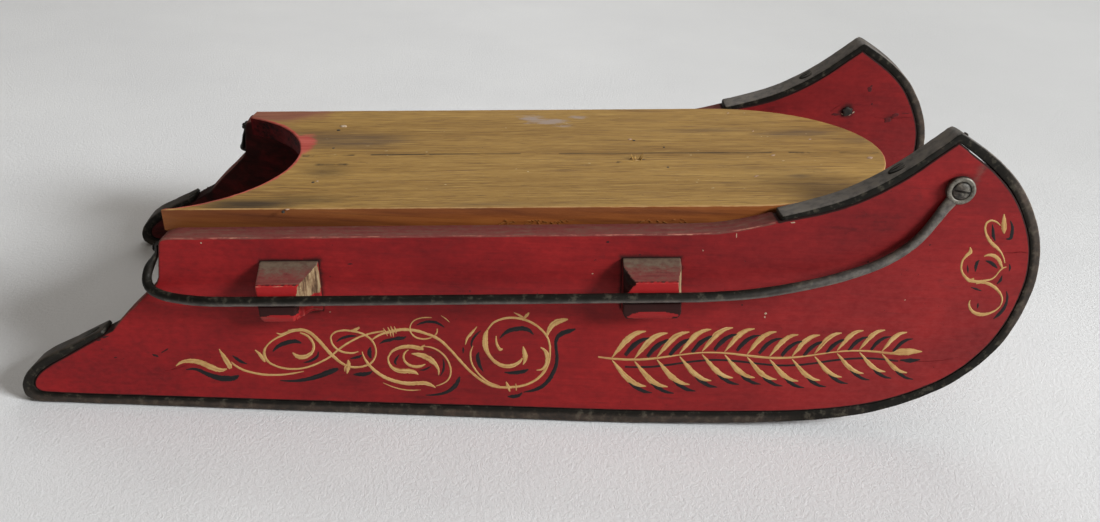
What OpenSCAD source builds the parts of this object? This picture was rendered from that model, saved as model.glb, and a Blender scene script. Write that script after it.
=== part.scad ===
// Child's wooden sled: two splayed plank runners shod with iron, two cross beams
// tenoned through them, one deck board, and an iron grab rod along each side.
// Millimetres. +X is the front, +Z is up. x is measured from the heel while building.

/* [Runners] */
// Thickness of each runner plank
plank_t = 21; // [10:0.5:26]
// Overall width across the runners' outer faces at the floor
track_w = 317; // [240:1:380]
// Lean of each runner, tops inward, degrees
splay = 4.3; // [0:0.1:8]
// Play between a shoe and the wood it is bent round
shoe_play = 0.15; // [0.05:0.05:0.5]
// How far the left shoe's heel end stops short of the right one's
left_short = 12; // [0:1:16]

/* [Deck] */
// Thickness of the deck board
deck_t = 19; // [10:0.5:25]
// How far the deck's underside is let down below the runners' tops
deck_set = 4; // [0:0.5:8]
// Width of the deck board
deck_w = 237; // [180:1:250]
// How far the deck sits off centre, to the right
deck_off = 3.5; // [0:0.5:8]
// Rise of the deck and the runner tops towards the front, degrees
deck_rise = 3.1; // [0:0.1:6]
// Front end of the deck, from the heel
deck_front_x = 748; // [700:1:790]
// Length of the rounded front
deck_nose_l = 142; // [90:1:200]
// Deepest point of the rear notch, from the heel
notch_x = 214; // [170:1:260]
// Radius of the rear notch
notch_r = 116; // [90:1:160]
// How far the notch was cut off the deck's centre, to the right
notch_off = 6; // [0:0.5:12]
// Rear end of the deck's right point, from the heel
point_right_x = 126; // [110:1:160]
// Rear end of the deck's left point, worn blunter
point_left_x = 146; // [110:1:160]

/* [Cross beams] */
// Width of a beam between the runners, along the sled
beam_w = 54; // [47:1:70]
// Foot of a beam below the runners' tops
beam_h = 68; // [50:1:80]
// Width of a through tenon
tenon_w = 47; // [30:1:50]
// Top of a tenon below the runners' tops
tenon_top = 19.5; // [8:0.5:30]
// Bottom of a tenon below the runners' tops
tenon_low = 64; // [40:0.5:68]
// How far a tenon stands out of the runner
tenon_out = 22; // [8:0.5:40]
// Play of a tenon in its mortise, each side
tenon_play = 0.2; // [0.1:0.05:0.6]
// Drop of a tenon's worn top bevel at its end
bevel_top = 10.5; // [2:0.5:16]
// Bevel of a tenon's other edges at its end
bevel_side = 1; // [0.5:0.5:6]

/* [Grab rods] */
// Radius of a rod
rod_r = 4; // [3:0.1:6]
// Stand-off of a rod's axis from the runner face
rod_off = 24; // [16:0.5:40]
// Depth of a rod's axis below the runners' tops
rod_low = 44.8; // [35:0.1:55]
// Outer radius of the forged eye
eye_r = 11.5; // [9:0.5:15]
// Thickness of the forged eye
eye_t = 5; // [3:0.5:8]
// Right eye, from the heel
eye_right_x = 762; // [740:1:775]
// Right eye, height along the runner
eye_right_s = 227; // [190:0.5:235]
// Left eye, from the heel
eye_left_x = 752; // [740:1:775]
// Left eye, height along the runner, bolted lower
eye_left_s = 199.5; // [190:0.5:235]
// Shank radius of the eye bolt
bolt_r = 3; // [2:0.5:4]
// Head radius of the eye bolt
bolt_head_r = 7.2; // [5:0.1:9]

/* [View] */
// Sub-part to draw

/* [Hidden] */
RED = [0.53, 0.13, 0.14];
PINE = [0.62, 0.48, 0.28];
IRON = [0.22, 0.23, 0.21];
play = 0.15;      // gap between pieces that only touch

// Shoe, from the end on the heel, under the runner and up to the tip:
// outer line, then inner line (the wood's edge). Heights are along the runner.
OX = 0; OS = 1; IX = 2; IS = 3;
shoe_rows = [
  [73, 71, 75, 67.3], [55.2, 61, 58, 56.6], [37.3, 51, 40.5, 45.4],
  [19.3, 40.7, 24, 34.6], [11.7, 34.5, 17.6, 29.2], [5.7, 27.5, 13, 23.7],
  [1.6, 20, 10.9, 18.2], [0.1, 12.5, 11.3, 13.6], [1.6, 5.9, 14.6, 10.4],
  [7.5, 1.5, 20, 9.1], [17, 0, 30, 8.8], [100, 0, 100, 9.1], [250, 0, 250, 10],
  [400, 0, 400, 11.6], [500, 0, 500, 12.2], [582, 2.4, 581, 14], [625.7, 4.6, 624.5, 15.9],
  [669, 8.3, 667.5, 18.8], [703.4, 13.4, 701.6, 23.4], [737, 22.1, 734.5, 31],
  [769.3, 36.2, 765.5, 44], [784.8, 45.3, 780.5, 52.5], [799.9, 56.7, 794.8, 63.4],
  [813.6, 71, 807.5, 77], [826.9, 89.5, 819, 94], [834.5, 107, 826, 110],
  [840, 128, 831.3, 129.7], [842.6, 150, 833.8, 150.5], [841.7, 166, 833, 165.2],
  [837.7, 184.8, 829.4, 182.6], [828.1, 206.8, 820.2, 203.3], [810, 233, 803.5, 228],
  [790, 251, 784.8, 245], [772, 263, 767.8, 256.2], [760.5, 269.6, 757, 262.9]];
// Shoe, back from the tip along the top sweep to its end
sweep_rows = [
  [746.5, 266.5, 749.5, 261.3], [737, 258, 740.3, 253.3], [720, 243.4, 723.5, 238.2],
  [700, 229.2, 703, 223.4], [678, 216.7, 680.3, 210.9], [655, 207.4, 656.7, 202.1],
  [638, 201.9, 639.2, 197.4], [626.5, 198.5, 627.5, 194.5]];
tip_in = [753.8, 264.6];
tip_out = [[757.2, 271.4], [754.2, 272.3], [751, 270.6]];
// Runner top between the end of the sweep and the start of the straight
PX = 0; PS = 1;
top_rows = [[627.5, 194.5], [601, 186.6], [578, 181.8], [554, 179.4]];
top_rear = [129.5, 156.5];   // rear top corner
// Rear edge, from its foot to the end of the shoe on the heel
rear_rows = [[126, 122], [123.6, 116.6], [117.5, 109.5], [109, 100.4], [100, 91.4], [82.8, 72]];

// Beams: centre from the heel
BX = 0;
beam_rows = [[232], [524]];

// Grab rod: place from the heel, height along the runner, stand-off from its
// face, then half sizes across the runner's plane and out of it
RX = 0; RS = 1; RW = 2; RA = 3; RB = 4;
rod_tail = [
  [126.3, 149.5, -7, 1.8, 5.5], [125.6, 142, -7, 2, 5.5], [121.8, 135.4, -7, 2.6, 4.8],
  [118, 129, -6.8, 3.6, 3.9], [116, 122.8, -4.6, 3.8, 3.8],
  [117, 117.2, -0.3, rod_r, rod_r], [121.8, 113.4, 4.9, rod_r, rod_r],
  [131, 111.9, 10.3, rod_r, rod_r], [148, 112.5, 17.6, rod_r, rod_r],
  [168, 113.6, 22.6, rod_r, rod_r], [190, 114.8, rod_off, rod_r, rod_r]];
// The left rod's tail is hammered flatter and hugs the runner's rear edge
rod_tail_left = [
  [126.3, 149.5, -7, 1.8, 5.5], [125.6, 142, -7, 2, 5.5], [123.6, 135.4, -7, 2.2, 5.2],
  [122.4, 129, -6.8, 2.4, 5], [120.8, 122.8, -4.6, 3, 4.2],
  [118.6, 117.4, 0.4, 3.6, 3.6], [122.2, 113.2, 6, 3.9, 3.9],
  [131, 111.9, 10.6, rod_r, rod_r], [148, 112.5, 17.6, rod_r, rod_r],
  [168, 113.6, 22.6, rod_r, rod_r], [190, 114.8, rod_off, rod_r, rod_r]];
rod_head = [
  [563, 135.3, rod_off, rod_r, rod_r], [604, 138.8, 21.6, rod_r, rod_r],
  [644, 145.2, 17, rod_r, rod_r], [684, 155.2, 11.8, rod_r, rod_r],
  [708, 164.8, 9, rod_r, rod_r], [723, 173.9, 7, rod_r, rod_r],
  [737, 186.8, 5, rod_r, 3.6], [746, 200.5, 3.7, 4.2, 3.2],
  [752.5, 212, 2.9, 4.8, 2.6], [758, 220.5, 2.65, 5.2, 2.2]];
rod_sides = 12;
// Eyes: the right rod's, then the left rod's
EX = 0; ES = 1;
eye_rows = [[eye_right_x, eye_right_s], [eye_left_x, eye_left_s]];
rod_straight = [rod_head[0][RX], rod_head[0][RS]] - [190, 114.8];

function unit(a) = a / norm(a);
function tangent(p, i) = let (n = len(p) - 1)
  i == 0 ? unit(p[1] - p[0]) : i == n ? unit(p[n] - p[n - 1]) :
  let (a = p[i] - p[i - 1], b = p[i + 1] - p[i], la = norm(a), lb = norm(b))
  (a / la * lb + b / lb * la) / (la + lb);
// Smooth curve through a list of points, n steps to a span
function smooth(p, n) = concat([for (i = [0 : len(p) - 2]) let (
    l = norm(p[i + 1] - p[i]), m0 = tangent(p, i) * l, m1 = tangent(p, i + 1) * l)
  for (k = [0 : n - 1]) let (t = k / n, t2 = t * t, t3 = t2 * t)
    (2*t3 - 3*t2 + 1) * p[i] + (t3 - 2*t2 + t) * m0 + (3*t2 - 2*t3) * p[i + 1] + (t3 - t2) * m1],
  [p[len(p) - 1]]);
function rev(p) = [for (i = [len(p) - 1 : -1 : 0]) p[i]];
function col(rows, a, b) = [for (r = rows) [r[a], r[b]]];
// The line moved to its left by d
function inset(p, d) = [for (i = [0 : len(p) - 1]) let (t = unit(tangent(p, i))) p[i] + d * [-t[1], t[0]]];

outer_a = [for (q = smooth(col(shoe_rows, OX, OS), 3)) [q[0], max(0, q[1])]];
outer_b = smooth(col(sweep_rows, OX, OS), 3);
inner_a = smooth(col(shoe_rows, IX, IS), 3);
inner_b = smooth(col(sweep_rows, IX, IS), 3);
shoe_pts = concat(inner_a, [tip_in], inner_b, rev(outer_b), rev(tip_out), rev(outer_a));
wood_pts = concat(inset(inner_a, shoe_play), [tip_in + [0, -shoe_play * 1.5]], inset(inner_b, shoe_play),
  [for (i = [1 : 3 * (len(top_rows) - 1)]) smooth(top_rows, 3)[i]],
  [top_rear], smooth(rear_rows, 3));
mid_x = (min([for (q = outer_a) q[0]]) + max([for (q = outer_a) q[0]])) / 2;
heel_slope = atan2(shoe_rows[0][OS] - shoe_rows[1][OS], shoe_rows[0][OX] - shoe_rows[1][OX]);

half_w = track_w / 2;
foot_z = plank_t * sin(splay);
deck_z = top_rear[1] * cos(splay) + foot_z / 2;   // plane of the runners' tops, above the rear corner

// From the runner's own plane to its place on the right side
module right_side() translate([-mid_x, -half_w, foot_z]) rotate([-splay, 0, 0]) children();
// From the deck's plane: origin level with the runners' tops, above their rear corner
module on_deck() translate([top_rear[0] - mid_x, 0, deck_z]) rotate([0, -deck_rise, 0]) children();
// A flat shape in the runner's plane, t thick inward from depth d
module slab(t, d = 0) translate([0, d + t, 0]) rotate([90, 0, 0]) linear_extrude(t) children();
// A round bar across the runner's plane from stand-off w0 in to w1
module across(x, s, r, w0, w1, fn = 32) translate([x, -w0, s]) rotate([-90, 0, 0]) cylinder(r = r, h = w0 - w1, $fn = fn);

function beam_u(i) = (beam_rows[i][BX] - top_rear[0]) / cos(deck_rise);
// Half width over a runner's outer face, at depth v below the runners' tops, at beam i
function face_y(i, v) = half_w - (deck_z + beam_u(i) * sin(deck_rise) - v - foot_z) * tan(splay);

module mortises(gap) for (i = [0 : len(beam_rows) - 1])
  on_deck() translate([beam_u(i) - tenon_w / 2 - gap, -half_w - 60, -tenon_low - gap])
    cube([tenon_w + 2 * gap, 2 * half_w + 120, tenon_low - tenon_top + 2 * gap]);

// Side pieces take k: 0 for the right side, 1 for the left
module runner(k) color(RED) mirror([0, k, 0]) difference() {
  right_side() difference() {
    slab(plank_t) polygon(wood_pts);
    across(eye_rows[k][EX], eye_rows[k][ES], bolt_r + 0.2, 5, -plank_t - 5);
    translate([118, 7, 146]) rotate([0, 90, 0]) cylinder(r = 1.6, h = 28, $fn = 24);
  }
  mortises(tenon_play);
}
module right_runner() runner(0);
module left_runner() runner(1);

// The left shoe's heel end stops short of the right one's
module shoe(k) color(IRON) mirror([0, k, 0]) right_side() difference() {
  slab(plank_t) polygon(shoe_pts);
  if (k == 1) translate([shoe_rows[0][OX], -5, shoe_rows[0][OS]]) rotate([0, -heel_slope, 0])
    translate([-left_short, 0, -10]) cube([left_short + 10, plank_t + 10, 20]);
}
module right_shoe() shoe(0);
module left_shoe() shoe(1);

// One tenon end, from the runner's inner face out: a block, then its bevelled end
module tenon(i) {
  y0 = face_y(i, tenon_low) - plank_t - 12;
  y1 = face_y(i, rod_low);
  y2 = y1 + tenon_out;
  u = beam_u(i);
  translate([u, 0, 0]) difference() {
    translate([-tenon_w / 2, y0, -tenon_low]) cube([tenon_w, y2 - y0, tenon_low - tenon_top]);
    // worn top
    rotate([90, 0, 90]) translate([0, 0, -tenon_w]) linear_extrude(2 * tenon_w)
      polygon([[y1 + 1.5, -tenon_top], [y1 + 1.5, -tenon_top + 5], [y2 + 5, -tenon_top + 5],
               [y2 + 5, -tenon_top - bevel_top * 1.28], [y2, -tenon_top - bevel_top]]);
    // under side
    rotate([90, 0, 90]) translate([0, 0, -tenon_w]) linear_extrude(2 * tenon_w)
      polygon([[y2 - 6, -tenon_low], [y2, -tenon_low + bevel_side], [y2 + 5, -tenon_low + bevel_side],
               [y2 + 5, -tenon_low - 5], [y2 - 6, -tenon_low - 5]]);
    // both flanks
    for (k = [-1, 1]) translate([0, 0, -tenon_low - 5]) linear_extrude(tenon_low)
      polygon([[k * tenon_w / 2, y1 + 2], [k * (tenon_w / 2 - bevel_side), y2],
               [k * (tenon_w / 2 - bevel_side), y2 + 5], [k * (tenon_w / 2 + 5), y2 + 5], [k * (tenon_w / 2 + 5), y1 + 2]]);
  }
}
module beam_body(i) {
  vt = deck_set + play;
  yt = face_y(i, vt) - plank_t / cos(splay) - play;
  yb = face_y(i, beam_h) - plank_t / cos(splay) - play;
  translate([beam_u(i) - beam_w / 2, 0, 0]) rotate([90, 0, 90]) linear_extrude(beam_w)
    polygon([[-yt, -vt], [yt, -vt], [yb, -beam_h], [-yb, -beam_h]]);
}
module rod_seats() for (k = [0, 1]) mirror([0, k, 0]) right_side()
  translate([190, -rod_off, 114.8]) rotate([0, 90 - atan2(rod_straight[1], rod_straight[0]), 0])
    translate([0, 0, -60]) cylinder(r = rod_r + play, h = 500, $fn = 48);
module beam(i) color(RED) difference() {
  on_deck() union() {
    beam_body(i);
    tenon(i);
    mirror([0, 1, 0]) tenon(i);
  }
  rod_seats();
}
module rear_beam() beam(0);
module front_beam() beam(1);

u_front = (deck_front_x - top_rear[0]) / cos(deck_rise);
u_right = (point_right_x - top_rear[0]) / cos(deck_rise);
u_left = (point_left_x - top_rear[0]) / cos(deck_rise);
u_notch = (notch_x - top_rear[0]) / cos(deck_rise);
module deck_outline() difference() {
  polygon(concat([[u_right, -deck_w / 2]],
    [for (a = [-90 : 5 : 90]) [u_front - deck_nose_l + deck_nose_l * cos(a), deck_w / 2 * sin(a)]],
    [[u_left, deck_w / 2]]));
  translate([u_notch - notch_r, -notch_off]) circle(r = notch_r, $fn = 128);
}
module deck() color(PINE) on_deck() translate([0, -deck_off, -deck_set]) linear_extrude(deck_t) deck_outline();

// Tube of changing oval section along a list of places in the runner's plane.
// The front bend of each rod is eased over to that rod's own eye.
function head(k) = let (d = eye_rows[k] - eye_rows[0]) [for (r = rod_head)
  let (t = pow((r[RX] - rod_head[0][RX]) / (rod_head[len(rod_head) - 1][RX] - rod_head[0][RX]), 1.6))
  [r[RX] + d[EX] * t, r[RS] + d[ES] * t, r[RW], r[RA], r[RB]]];
function path(k) = concat(smooth(k == 0 ? rod_tail : rod_tail_left, 3),
  [for (f = [0.16, 0.4, 0.7]) [190 + f * rod_straight[0], 114.8 + f * rod_straight[1], rod_off, rod_r, rod_r]],
  smooth(head(k), 3));
function mids(q) = [for (a = q) [a[RX], -a[RW], a[RS]]];
function ring(q, m, i) = let (t = unit(tangent(m, i)), w = [0, -1, 0],
    b = unit(w - (w * t) * t), n = cross(b, t))
  [for (a = [0 : rod_sides - 1]) let (g = 360 * a / rod_sides)
    m[i] + q[i][RA] * cos(g) * n + q[i][RB] * sin(g) * b];
module tube(q) {
  m = mids(q);
  n = len(m);
  polyhedron(convexity = 6, points = [for (i = [0 : n - 1]) each ring(q, m, i)],
    faces = concat([[for (a = [0 : rod_sides - 1]) a]],
      [for (i = [0 : n - 2]) for (c = [0 : rod_sides - 1]) let (
          a = i * rod_sides + c, b = i * rod_sides + (c + 1) % rod_sides) each
        [[a, a + rod_sides, b], [b, a + rod_sides, b + rod_sides]]],
      [[for (a = [rod_sides - 1 : -1 : 0]) (n - 1) * rod_sides + a]]));
}
module grab_rod(k) color(IRON) mirror([0, k, 0]) right_side() difference() {
  union() {
    tube(path(k));
    across(eye_rows[k][EX], eye_rows[k][ES], eye_r, eye_t + play, play, 48);
  }
  across(eye_rows[k][EX], eye_rows[k][ES], bolt_r + 0.2, eye_t + 5, -5);
  across(eye_rows[k][EX], eye_rows[k][ES], bolt_head_r + play, eye_t + 5, eye_t - 1.5, 48);
  translate([110, 7, 146]) rotate([0, 90, 0]) cylinder(r = 1.6, h = 24, $fn = 24);
}
module right_grab_rod() grab_rod(0);
module left_grab_rod() grab_rod(1);

// Bolt through the eye and the plank: low round head outside, clinched end inside
module eye_bolt(k) color(IRON) mirror([0, k, 0]) right_side()
  translate([eye_rows[k][EX], -eye_t + 1.35, eye_rows[k][ES]]) rotate([-90, 0, 0]) rotate_extrude($fn = 48)
    polygon([[0, -3], [3.5, -2.7], [5.8, -1.7], [bolt_head_r, -0.4], [bolt_head_r, 0], [bolt_r, 0],
             [bolt_r, eye_t - 1.35 + plank_t + play], [bolt_r + 1.6, eye_t - 1.35 + plank_t + play],
             [bolt_r + 0.8, eye_t - 1.35 + plank_t + 1.6], [0, eye_t - 1.35 + plank_t + 2]]);
module right_eye_bolt() eye_bolt(0);
module left_eye_bolt() eye_bolt(1);

// Screw through the rod's rear tab into the runner's rear edge
module tab_screw(k) color(IRON) mirror([0, k, 0]) right_side()
  translate([123.4, 7, 146]) rotate([0, 90, 0]) rotate_extrude($fn = 32)
    polygon([[0, -2], [2.2, -1.5], [3.2, -0.3], [3.2, 0], [1.4, 0], [1.4, 18], [0, 21]]);
module right_tab_screw() tab_screw(0);
module left_tab_screw() tab_screw(1);

right_runner();
left_runner();
right_shoe();
left_shoe();
rear_beam();
front_beam();
deck();
right_grab_rod();
left_grab_rod();
right_eye_bolt();
left_eye_bolt();
right_tab_screw();
left_tab_screw();
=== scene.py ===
import math
import bpy
import numpy as np
from mathutils import Matrix, Vector, noise
from mathutils.geometry import delaunay_2d_cdt


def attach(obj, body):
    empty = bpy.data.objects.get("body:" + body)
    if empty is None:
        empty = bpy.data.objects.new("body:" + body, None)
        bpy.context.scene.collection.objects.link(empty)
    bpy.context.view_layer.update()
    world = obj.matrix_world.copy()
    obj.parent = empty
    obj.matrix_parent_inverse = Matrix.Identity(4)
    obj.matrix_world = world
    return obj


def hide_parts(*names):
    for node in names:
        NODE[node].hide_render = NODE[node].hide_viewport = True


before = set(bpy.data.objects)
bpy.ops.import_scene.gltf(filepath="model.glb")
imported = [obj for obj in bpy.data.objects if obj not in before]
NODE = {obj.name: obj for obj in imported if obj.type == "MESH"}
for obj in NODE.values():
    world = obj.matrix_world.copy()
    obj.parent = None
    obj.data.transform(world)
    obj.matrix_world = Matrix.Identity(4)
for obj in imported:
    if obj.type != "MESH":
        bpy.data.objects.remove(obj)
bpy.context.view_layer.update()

scene = bpy.context.scene
MM = 0.001

# ================================================================ camera
MID_X = 421.35          # x of the sled's middle, measured from the heel (mm)
CAM_AT = np.array(((412.785 - MID_X) * MM, -0.861667, (528.206 + 1.575) * MM))
CAM_R = np.array((0.99880307, -0.00407388, 0.0487426))
CAM_U = np.array((-0.04116497, 0.46820665, 0.8826596))
CAM_F = np.array((0.02641746, 0.88360961, -0.46747854))
LENS, SENSOR, SHIFT_X = 32.7273, 36.0, 0.010385

cam_data = bpy.data.cameras.new("camera")
cam_data.lens = LENS
cam_data.sensor_width = SENSOR
cam_data.sensor_fit = "HORIZONTAL"
cam_data.shift_x = SHIFT_X
cam_data.clip_start = 0.02
cam = bpy.data.objects.new("camera", cam_data)
scene.collection.objects.link(cam)
m4 = Matrix.Identity(4)
for r in range(3):
    m4[r][0], m4[r][1], m4[r][2], m4[r][3] = CAM_R[r], CAM_U[r], -CAM_F[r], CAM_AT[r]
cam.matrix_world = m4
scene.camera = cam

# ================================================================ the sled's own planes (mm from the heel)
SPLAY, RISE = math.radians(4.3), math.radians(3.1)
SS, CS, SR, CR = math.sin(SPLAY), math.cos(SPLAY), math.sin(RISE), math.cos(RISE)
PLANK, HALF = 21.0, 158.5
DECK_T, DECK_SET, DECK_W, DECK_OFF = 19.0, 4.0, 237.0, 3.5
DECK_V = DECK_T - DECK_SET      # top of the deck above the plane of the runners' tops
FOOT = PLANK * SS
TOP_REAR = (129.5, 156.5)
DECK_Z = TOP_REAR[1] * CS + FOOT / 2

def rs(x, s, w, k=0):
    """A place in a runner's plane: along, up the plank, out of its face; k 0 right, 1 left."""
    x, s, w = np.broadcast_arrays(np.asarray(x, float), np.asarray(s, float), np.asarray(w, float))
    y = -HALF + s * SS - w * CS
    return np.stack([x - MID_X, -y if k else y, FOOT + s * CS + w * SS], -1) * MM

def dk(u, y, v):
    """A place in the deck's plane: along from above the runners' rear corner, to the left, up."""
    u, y, v = np.broadcast_arrays(np.asarray(u, float), np.asarray(y, float), np.asarray(v, float))
    return np.stack([TOP_REAR[0] - MID_X + u * CR - v * SR, y, DECK_Z + u * SR + v * CR], -1) * MM

def ray(p):
    p = np.atleast_2d(np.asarray(p, float))
    a = (p[:, 0] / 1100 - 0.5 + SHIFT_X) * SENSOR / LENS
    b = -(p[:, 1] - 261) / 1100 * SENSOR / LENS
    return CAM_F + a[:, None] * CAM_R + b[:, None] * CAM_U

def on_runner(p, w=0.0, k=0):
    """View points to (x, s) in a runner's plane at stand-off w."""
    d, o = ray(p), CAM_AT / MM
    sg = -1 if k else 1
    w0 = -(sg * o[1] + HALF) * CS + (o[2] - FOOT) * SS
    dw = -(sg * d[:, 1]) * CS + d[:, 2] * SS
    q = o + ((w - w0) / dw)[:, None] * d
    return np.stack([q[:, 0] + MID_X, (sg * q[:, 1] + HALF) * SS + (q[:, 2] - FOOT) * CS], -1)

def on_deck(p, v=DECK_V):
    """View points to (u, y) on the deck."""
    d, o = ray(p), CAM_AT / MM
    x0 = TOP_REAR[0] - MID_X
    v0 = -(o[0] - x0) * SR + (o[2] - DECK_Z) * CR
    dv = -d[:, 0] * SR + d[:, 2] * CR
    q = o + ((v - v0) / dv)[:, None] * d
    return np.stack([(q[:, 0] - x0) * CR + (q[:, 2] - DECK_Z) * SR, q[:, 1]], -1)

# ---------------------------------------------------------------- outlines
SHOE = np.array([   # outer x, outer s, inner x, inner s: heel end, under the runner, up to the tip
    (73, 71, 75, 67.3), (55.2, 61, 58, 56.6), (37.3, 51, 40.5, 45.4),
    (19.3, 40.7, 24, 34.6), (11.7, 34.5, 17.6, 29.2), (5.7, 27.5, 13, 23.7),
    (1.6, 20, 10.9, 18.2), (0.1, 12.5, 11.3, 13.6), (1.6, 5.9, 14.6, 10.4),
    (7.5, 1.5, 20, 9.1), (17, 0, 30, 8.8), (100, 0, 100, 9.1), (250, 0, 250, 10),
    (400, 0, 400, 11.6), (500, 0, 500, 12.2), (582, 2.4, 581, 14), (625.7, 4.6, 624.5, 15.9),
    (669, 8.3, 667.5, 18.8), (703.4, 13.4, 701.6, 23.4), (737, 22.1, 734.5, 31),
    (769.3, 36.2, 765.5, 44), (784.8, 45.3, 780.5, 52.5), (799.9, 56.7, 794.8, 63.4),
    (813.6, 71, 807.5, 77), (826.9, 89.5, 819, 94), (834.5, 107, 826, 110),
    (840, 128, 831.3, 129.7), (842.6, 150, 833.8, 150.5), (841.7, 166, 833, 165.2),
    (837.7, 184.8, 829.4, 182.6), (828.1, 206.8, 820.2, 203.3), (810, 233, 803.5, 228),
    (790, 251, 784.8, 245), (772, 263, 767.8, 256.2), (760.5, 269.6, 757, 262.9)], float)
SWEEP = np.array([  # back from the tip along the top sweep
    (746.5, 266.5, 749.5, 261.3), (737, 258, 740.3, 253.3), (720, 243.4, 723.5, 238.2),
    (700, 229.2, 703, 223.4), (678, 216.7, 680.3, 210.9), (655, 207.4, 656.7, 202.1),
    (638, 201.9, 639.2, 197.4), (626.5, 198.5, 627.5, 194.5)], float)
TIP_IN = np.array((753.8, 264.6))
TIP_OUT = np.array([(757.2, 271.4), (754.2, 272.3), (751, 270.6)], float)
TOP = np.array([(627.5, 194.5), (601, 186.6), (578, 181.8), (554, 179.4)], float)
REAR = np.array([(126, 122), (123.6, 116.6), (117.5, 109.5), (109, 100.4), (100, 91.4), (82.8, 72)], float)
EYE = [(762.0, 227.0), (752.0, 199.5)]
BEAMS = [("rear_beam", 232.0), ("front_beam", 524.0)]

def unit(a):
    return a / np.maximum(np.linalg.norm(a, axis=-1, keepdims=True), 1e-12)

def tangents(p):
    d = np.diff(p, axis=0)
    l = np.linalg.norm(d, axis=1, keepdims=True)
    u = d / l
    t = np.empty_like(p)
    t[0], t[-1] = u[0], u[-1]
    t[1:-1] = (u[:-1] * l[1:] + u[1:] * l[:-1]) / (l[1:] + l[:-1])
    return t

def smooth(p, n):
    p = np.asarray(p, float)
    t, out = tangents(p), []
    for i in range(len(p) - 1):
        l = np.linalg.norm(p[i + 1] - p[i])
        for k in range(n):
            f = k / n
            out.append((2*f**3 - 3*f*f + 1) * p[i] + (f**3 - 2*f*f + f) * t[i] * l
                       + (3*f*f - 2*f**3) * p[i + 1] + (f**3 - f*f) * t[i + 1] * l)
    return np.array(out + [p[-1]])

def along(p, n):
    """Smooth a list of places with extra columns, the columns carried along linearly."""
    p = np.asarray(p, float)
    xy = smooth(p[:, :2], n)
    q = np.linspace(0, len(p) - 1, len(xy))
    return np.column_stack([xy] + [np.interp(q, np.arange(len(p)), p[:, c]) for c in range(2, p.shape[1])])

def inset_line(p, d):
    t = unit(tangents(p))
    return p + d * np.stack([-t[:, 1], t[:, 0]], -1)

def nz(x, y=0.0, z=0.0):
    return noise.noise(Vector((x, y, z)))

def fnz(p, f, seed=0.0):
    return np.array([noise.noise(Vector((float(a[0]) * f + seed, float(a[1]) * f, (float(a[2]) if len(a) > 2 else 0.0) * f + seed))) for a in p])

# ================================================================ mesh tools
def piece(name, verts, faces, mats, attrs=None, angle=40, replaces=None, slot=None, fmat=None, uv=None):
    me = bpy.data.meshes.new(name)
    me.from_pydata([tuple(map(float, v)) for v in verts], [], [tuple(map(int, f)) for f in faces])
    me.validate()
    for key, val in (attrs or {}).items():
        a = me.attributes.new(key, "FLOAT", "POINT")
        a.data.foreach_set("value", np.asarray(val, np.float32))
    if uv is not None:
        layer = me.uv_layers.new(name="along")
        li = np.empty(len(me.loops), np.int32)
        me.loops.foreach_get("vertex_index", li)
        layer.data.foreach_set("uv", np.asarray(uv, np.float32)[li].ravel())
    for mt in (mats if isinstance(mats, (list, tuple)) else [mats]):
        me.materials.append(mt)
    if fmat is not None:
        me.polygons.foreach_set("material_index", np.asarray(fmat, np.int32))
    me.polygons.foreach_set("use_smooth", np.ones(len(me.polygons), bool))
    me.set_sharp_from_angle(angle=math.radians(angle))
    me.update()
    o = bpy.data.objects.new(name, me)
    scene.collection.objects.link(o)
    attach(o, "root")
    if replaces:
        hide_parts(replaces)
    return o

class Bag:
    """Collects meshes that belong to one piece."""
    def __init__(self):
        self.v, self.f, self.a, self.m, self.n = [], [], {}, [], 0

    def add(self, v, f, attrs=None, mat=0, flip=False):
        v = np.asarray(v, float)
        self.v.append(v)
        for q in f:
            q = [int(i) + self.n for i in q]
            self.f.append(q[::-1] if flip else q)
            self.m.append(mat)
        for key, val in (attrs or {}).items():
            self.a.setdefault(key, []).append((self.n, np.broadcast_to(np.asarray(val, float), (len(v),))))
        self.n += len(v)

    def make(self, name, mats, **kw):
        v = np.concatenate(self.v)
        attrs = {}
        for key, parts in self.a.items():
            b = np.zeros(len(v))
            for at, val in parts:
                b[at:at + len(val)] = val
            attrs[key] = b
        return piece(name, v, self.f, mats, attrs, fmat=self.m, **kw)

def resample(p, step, closed=True):
    """Split long runs of an outline; returns the points and the index of the run each came from."""
    out, src, n = [], [], len(p)
    for i in range(n if closed else n - 1):
        a, b = p[i], p[(i + 1) % n]
        k = max(1, int(math.ceil(np.linalg.norm(b - a) / step)))
        for j in range(k):
            out.append(a + (b - a) * j / k)
            src.append(i)
    if not closed:
        out.append(p[-1]); src.append(n - 1)
    return np.array(out), np.array(src)

def tidy(p, least=0.35):
    keep = [0]
    for i in range(1, len(p)):
        if np.linalg.norm(p[i] - p[keep[-1]]) > least:
            keep.append(i)
    if np.linalg.norm(p[keep[-1]] - p[0]) < least:
        keep.pop()
    return np.array(keep)

def ring_in(p, r):
    """Closed anticlockwise outline moved inward by r (one value a point)."""
    d = np.roll(p, -1, 0) - p
    nrm = unit(np.stack([-d[:, 1], d[:, 0]], -1))
    m = unit(nrm + np.roll(nrm, 1, 0))
    c = np.maximum(0.45, (m * nrm).sum(-1))
    return p + m * (np.asarray(r) / c)[:, None]

def inside(p, loop):
    x, y = p[:, 0], p[:, 1]
    r = np.zeros(len(p), bool)
    a, b = loop, np.roll(loop, -1, 0)
    for (x0, y0), (x1, y1) in zip(a, b):
        if y0 == y1:
            continue
        hit = ((y0 > y) != (y1 > y)) & (x < (x1 - x0) * (y - y0) / (y1 - y0) + x0)
        r ^= hit
    return r

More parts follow.
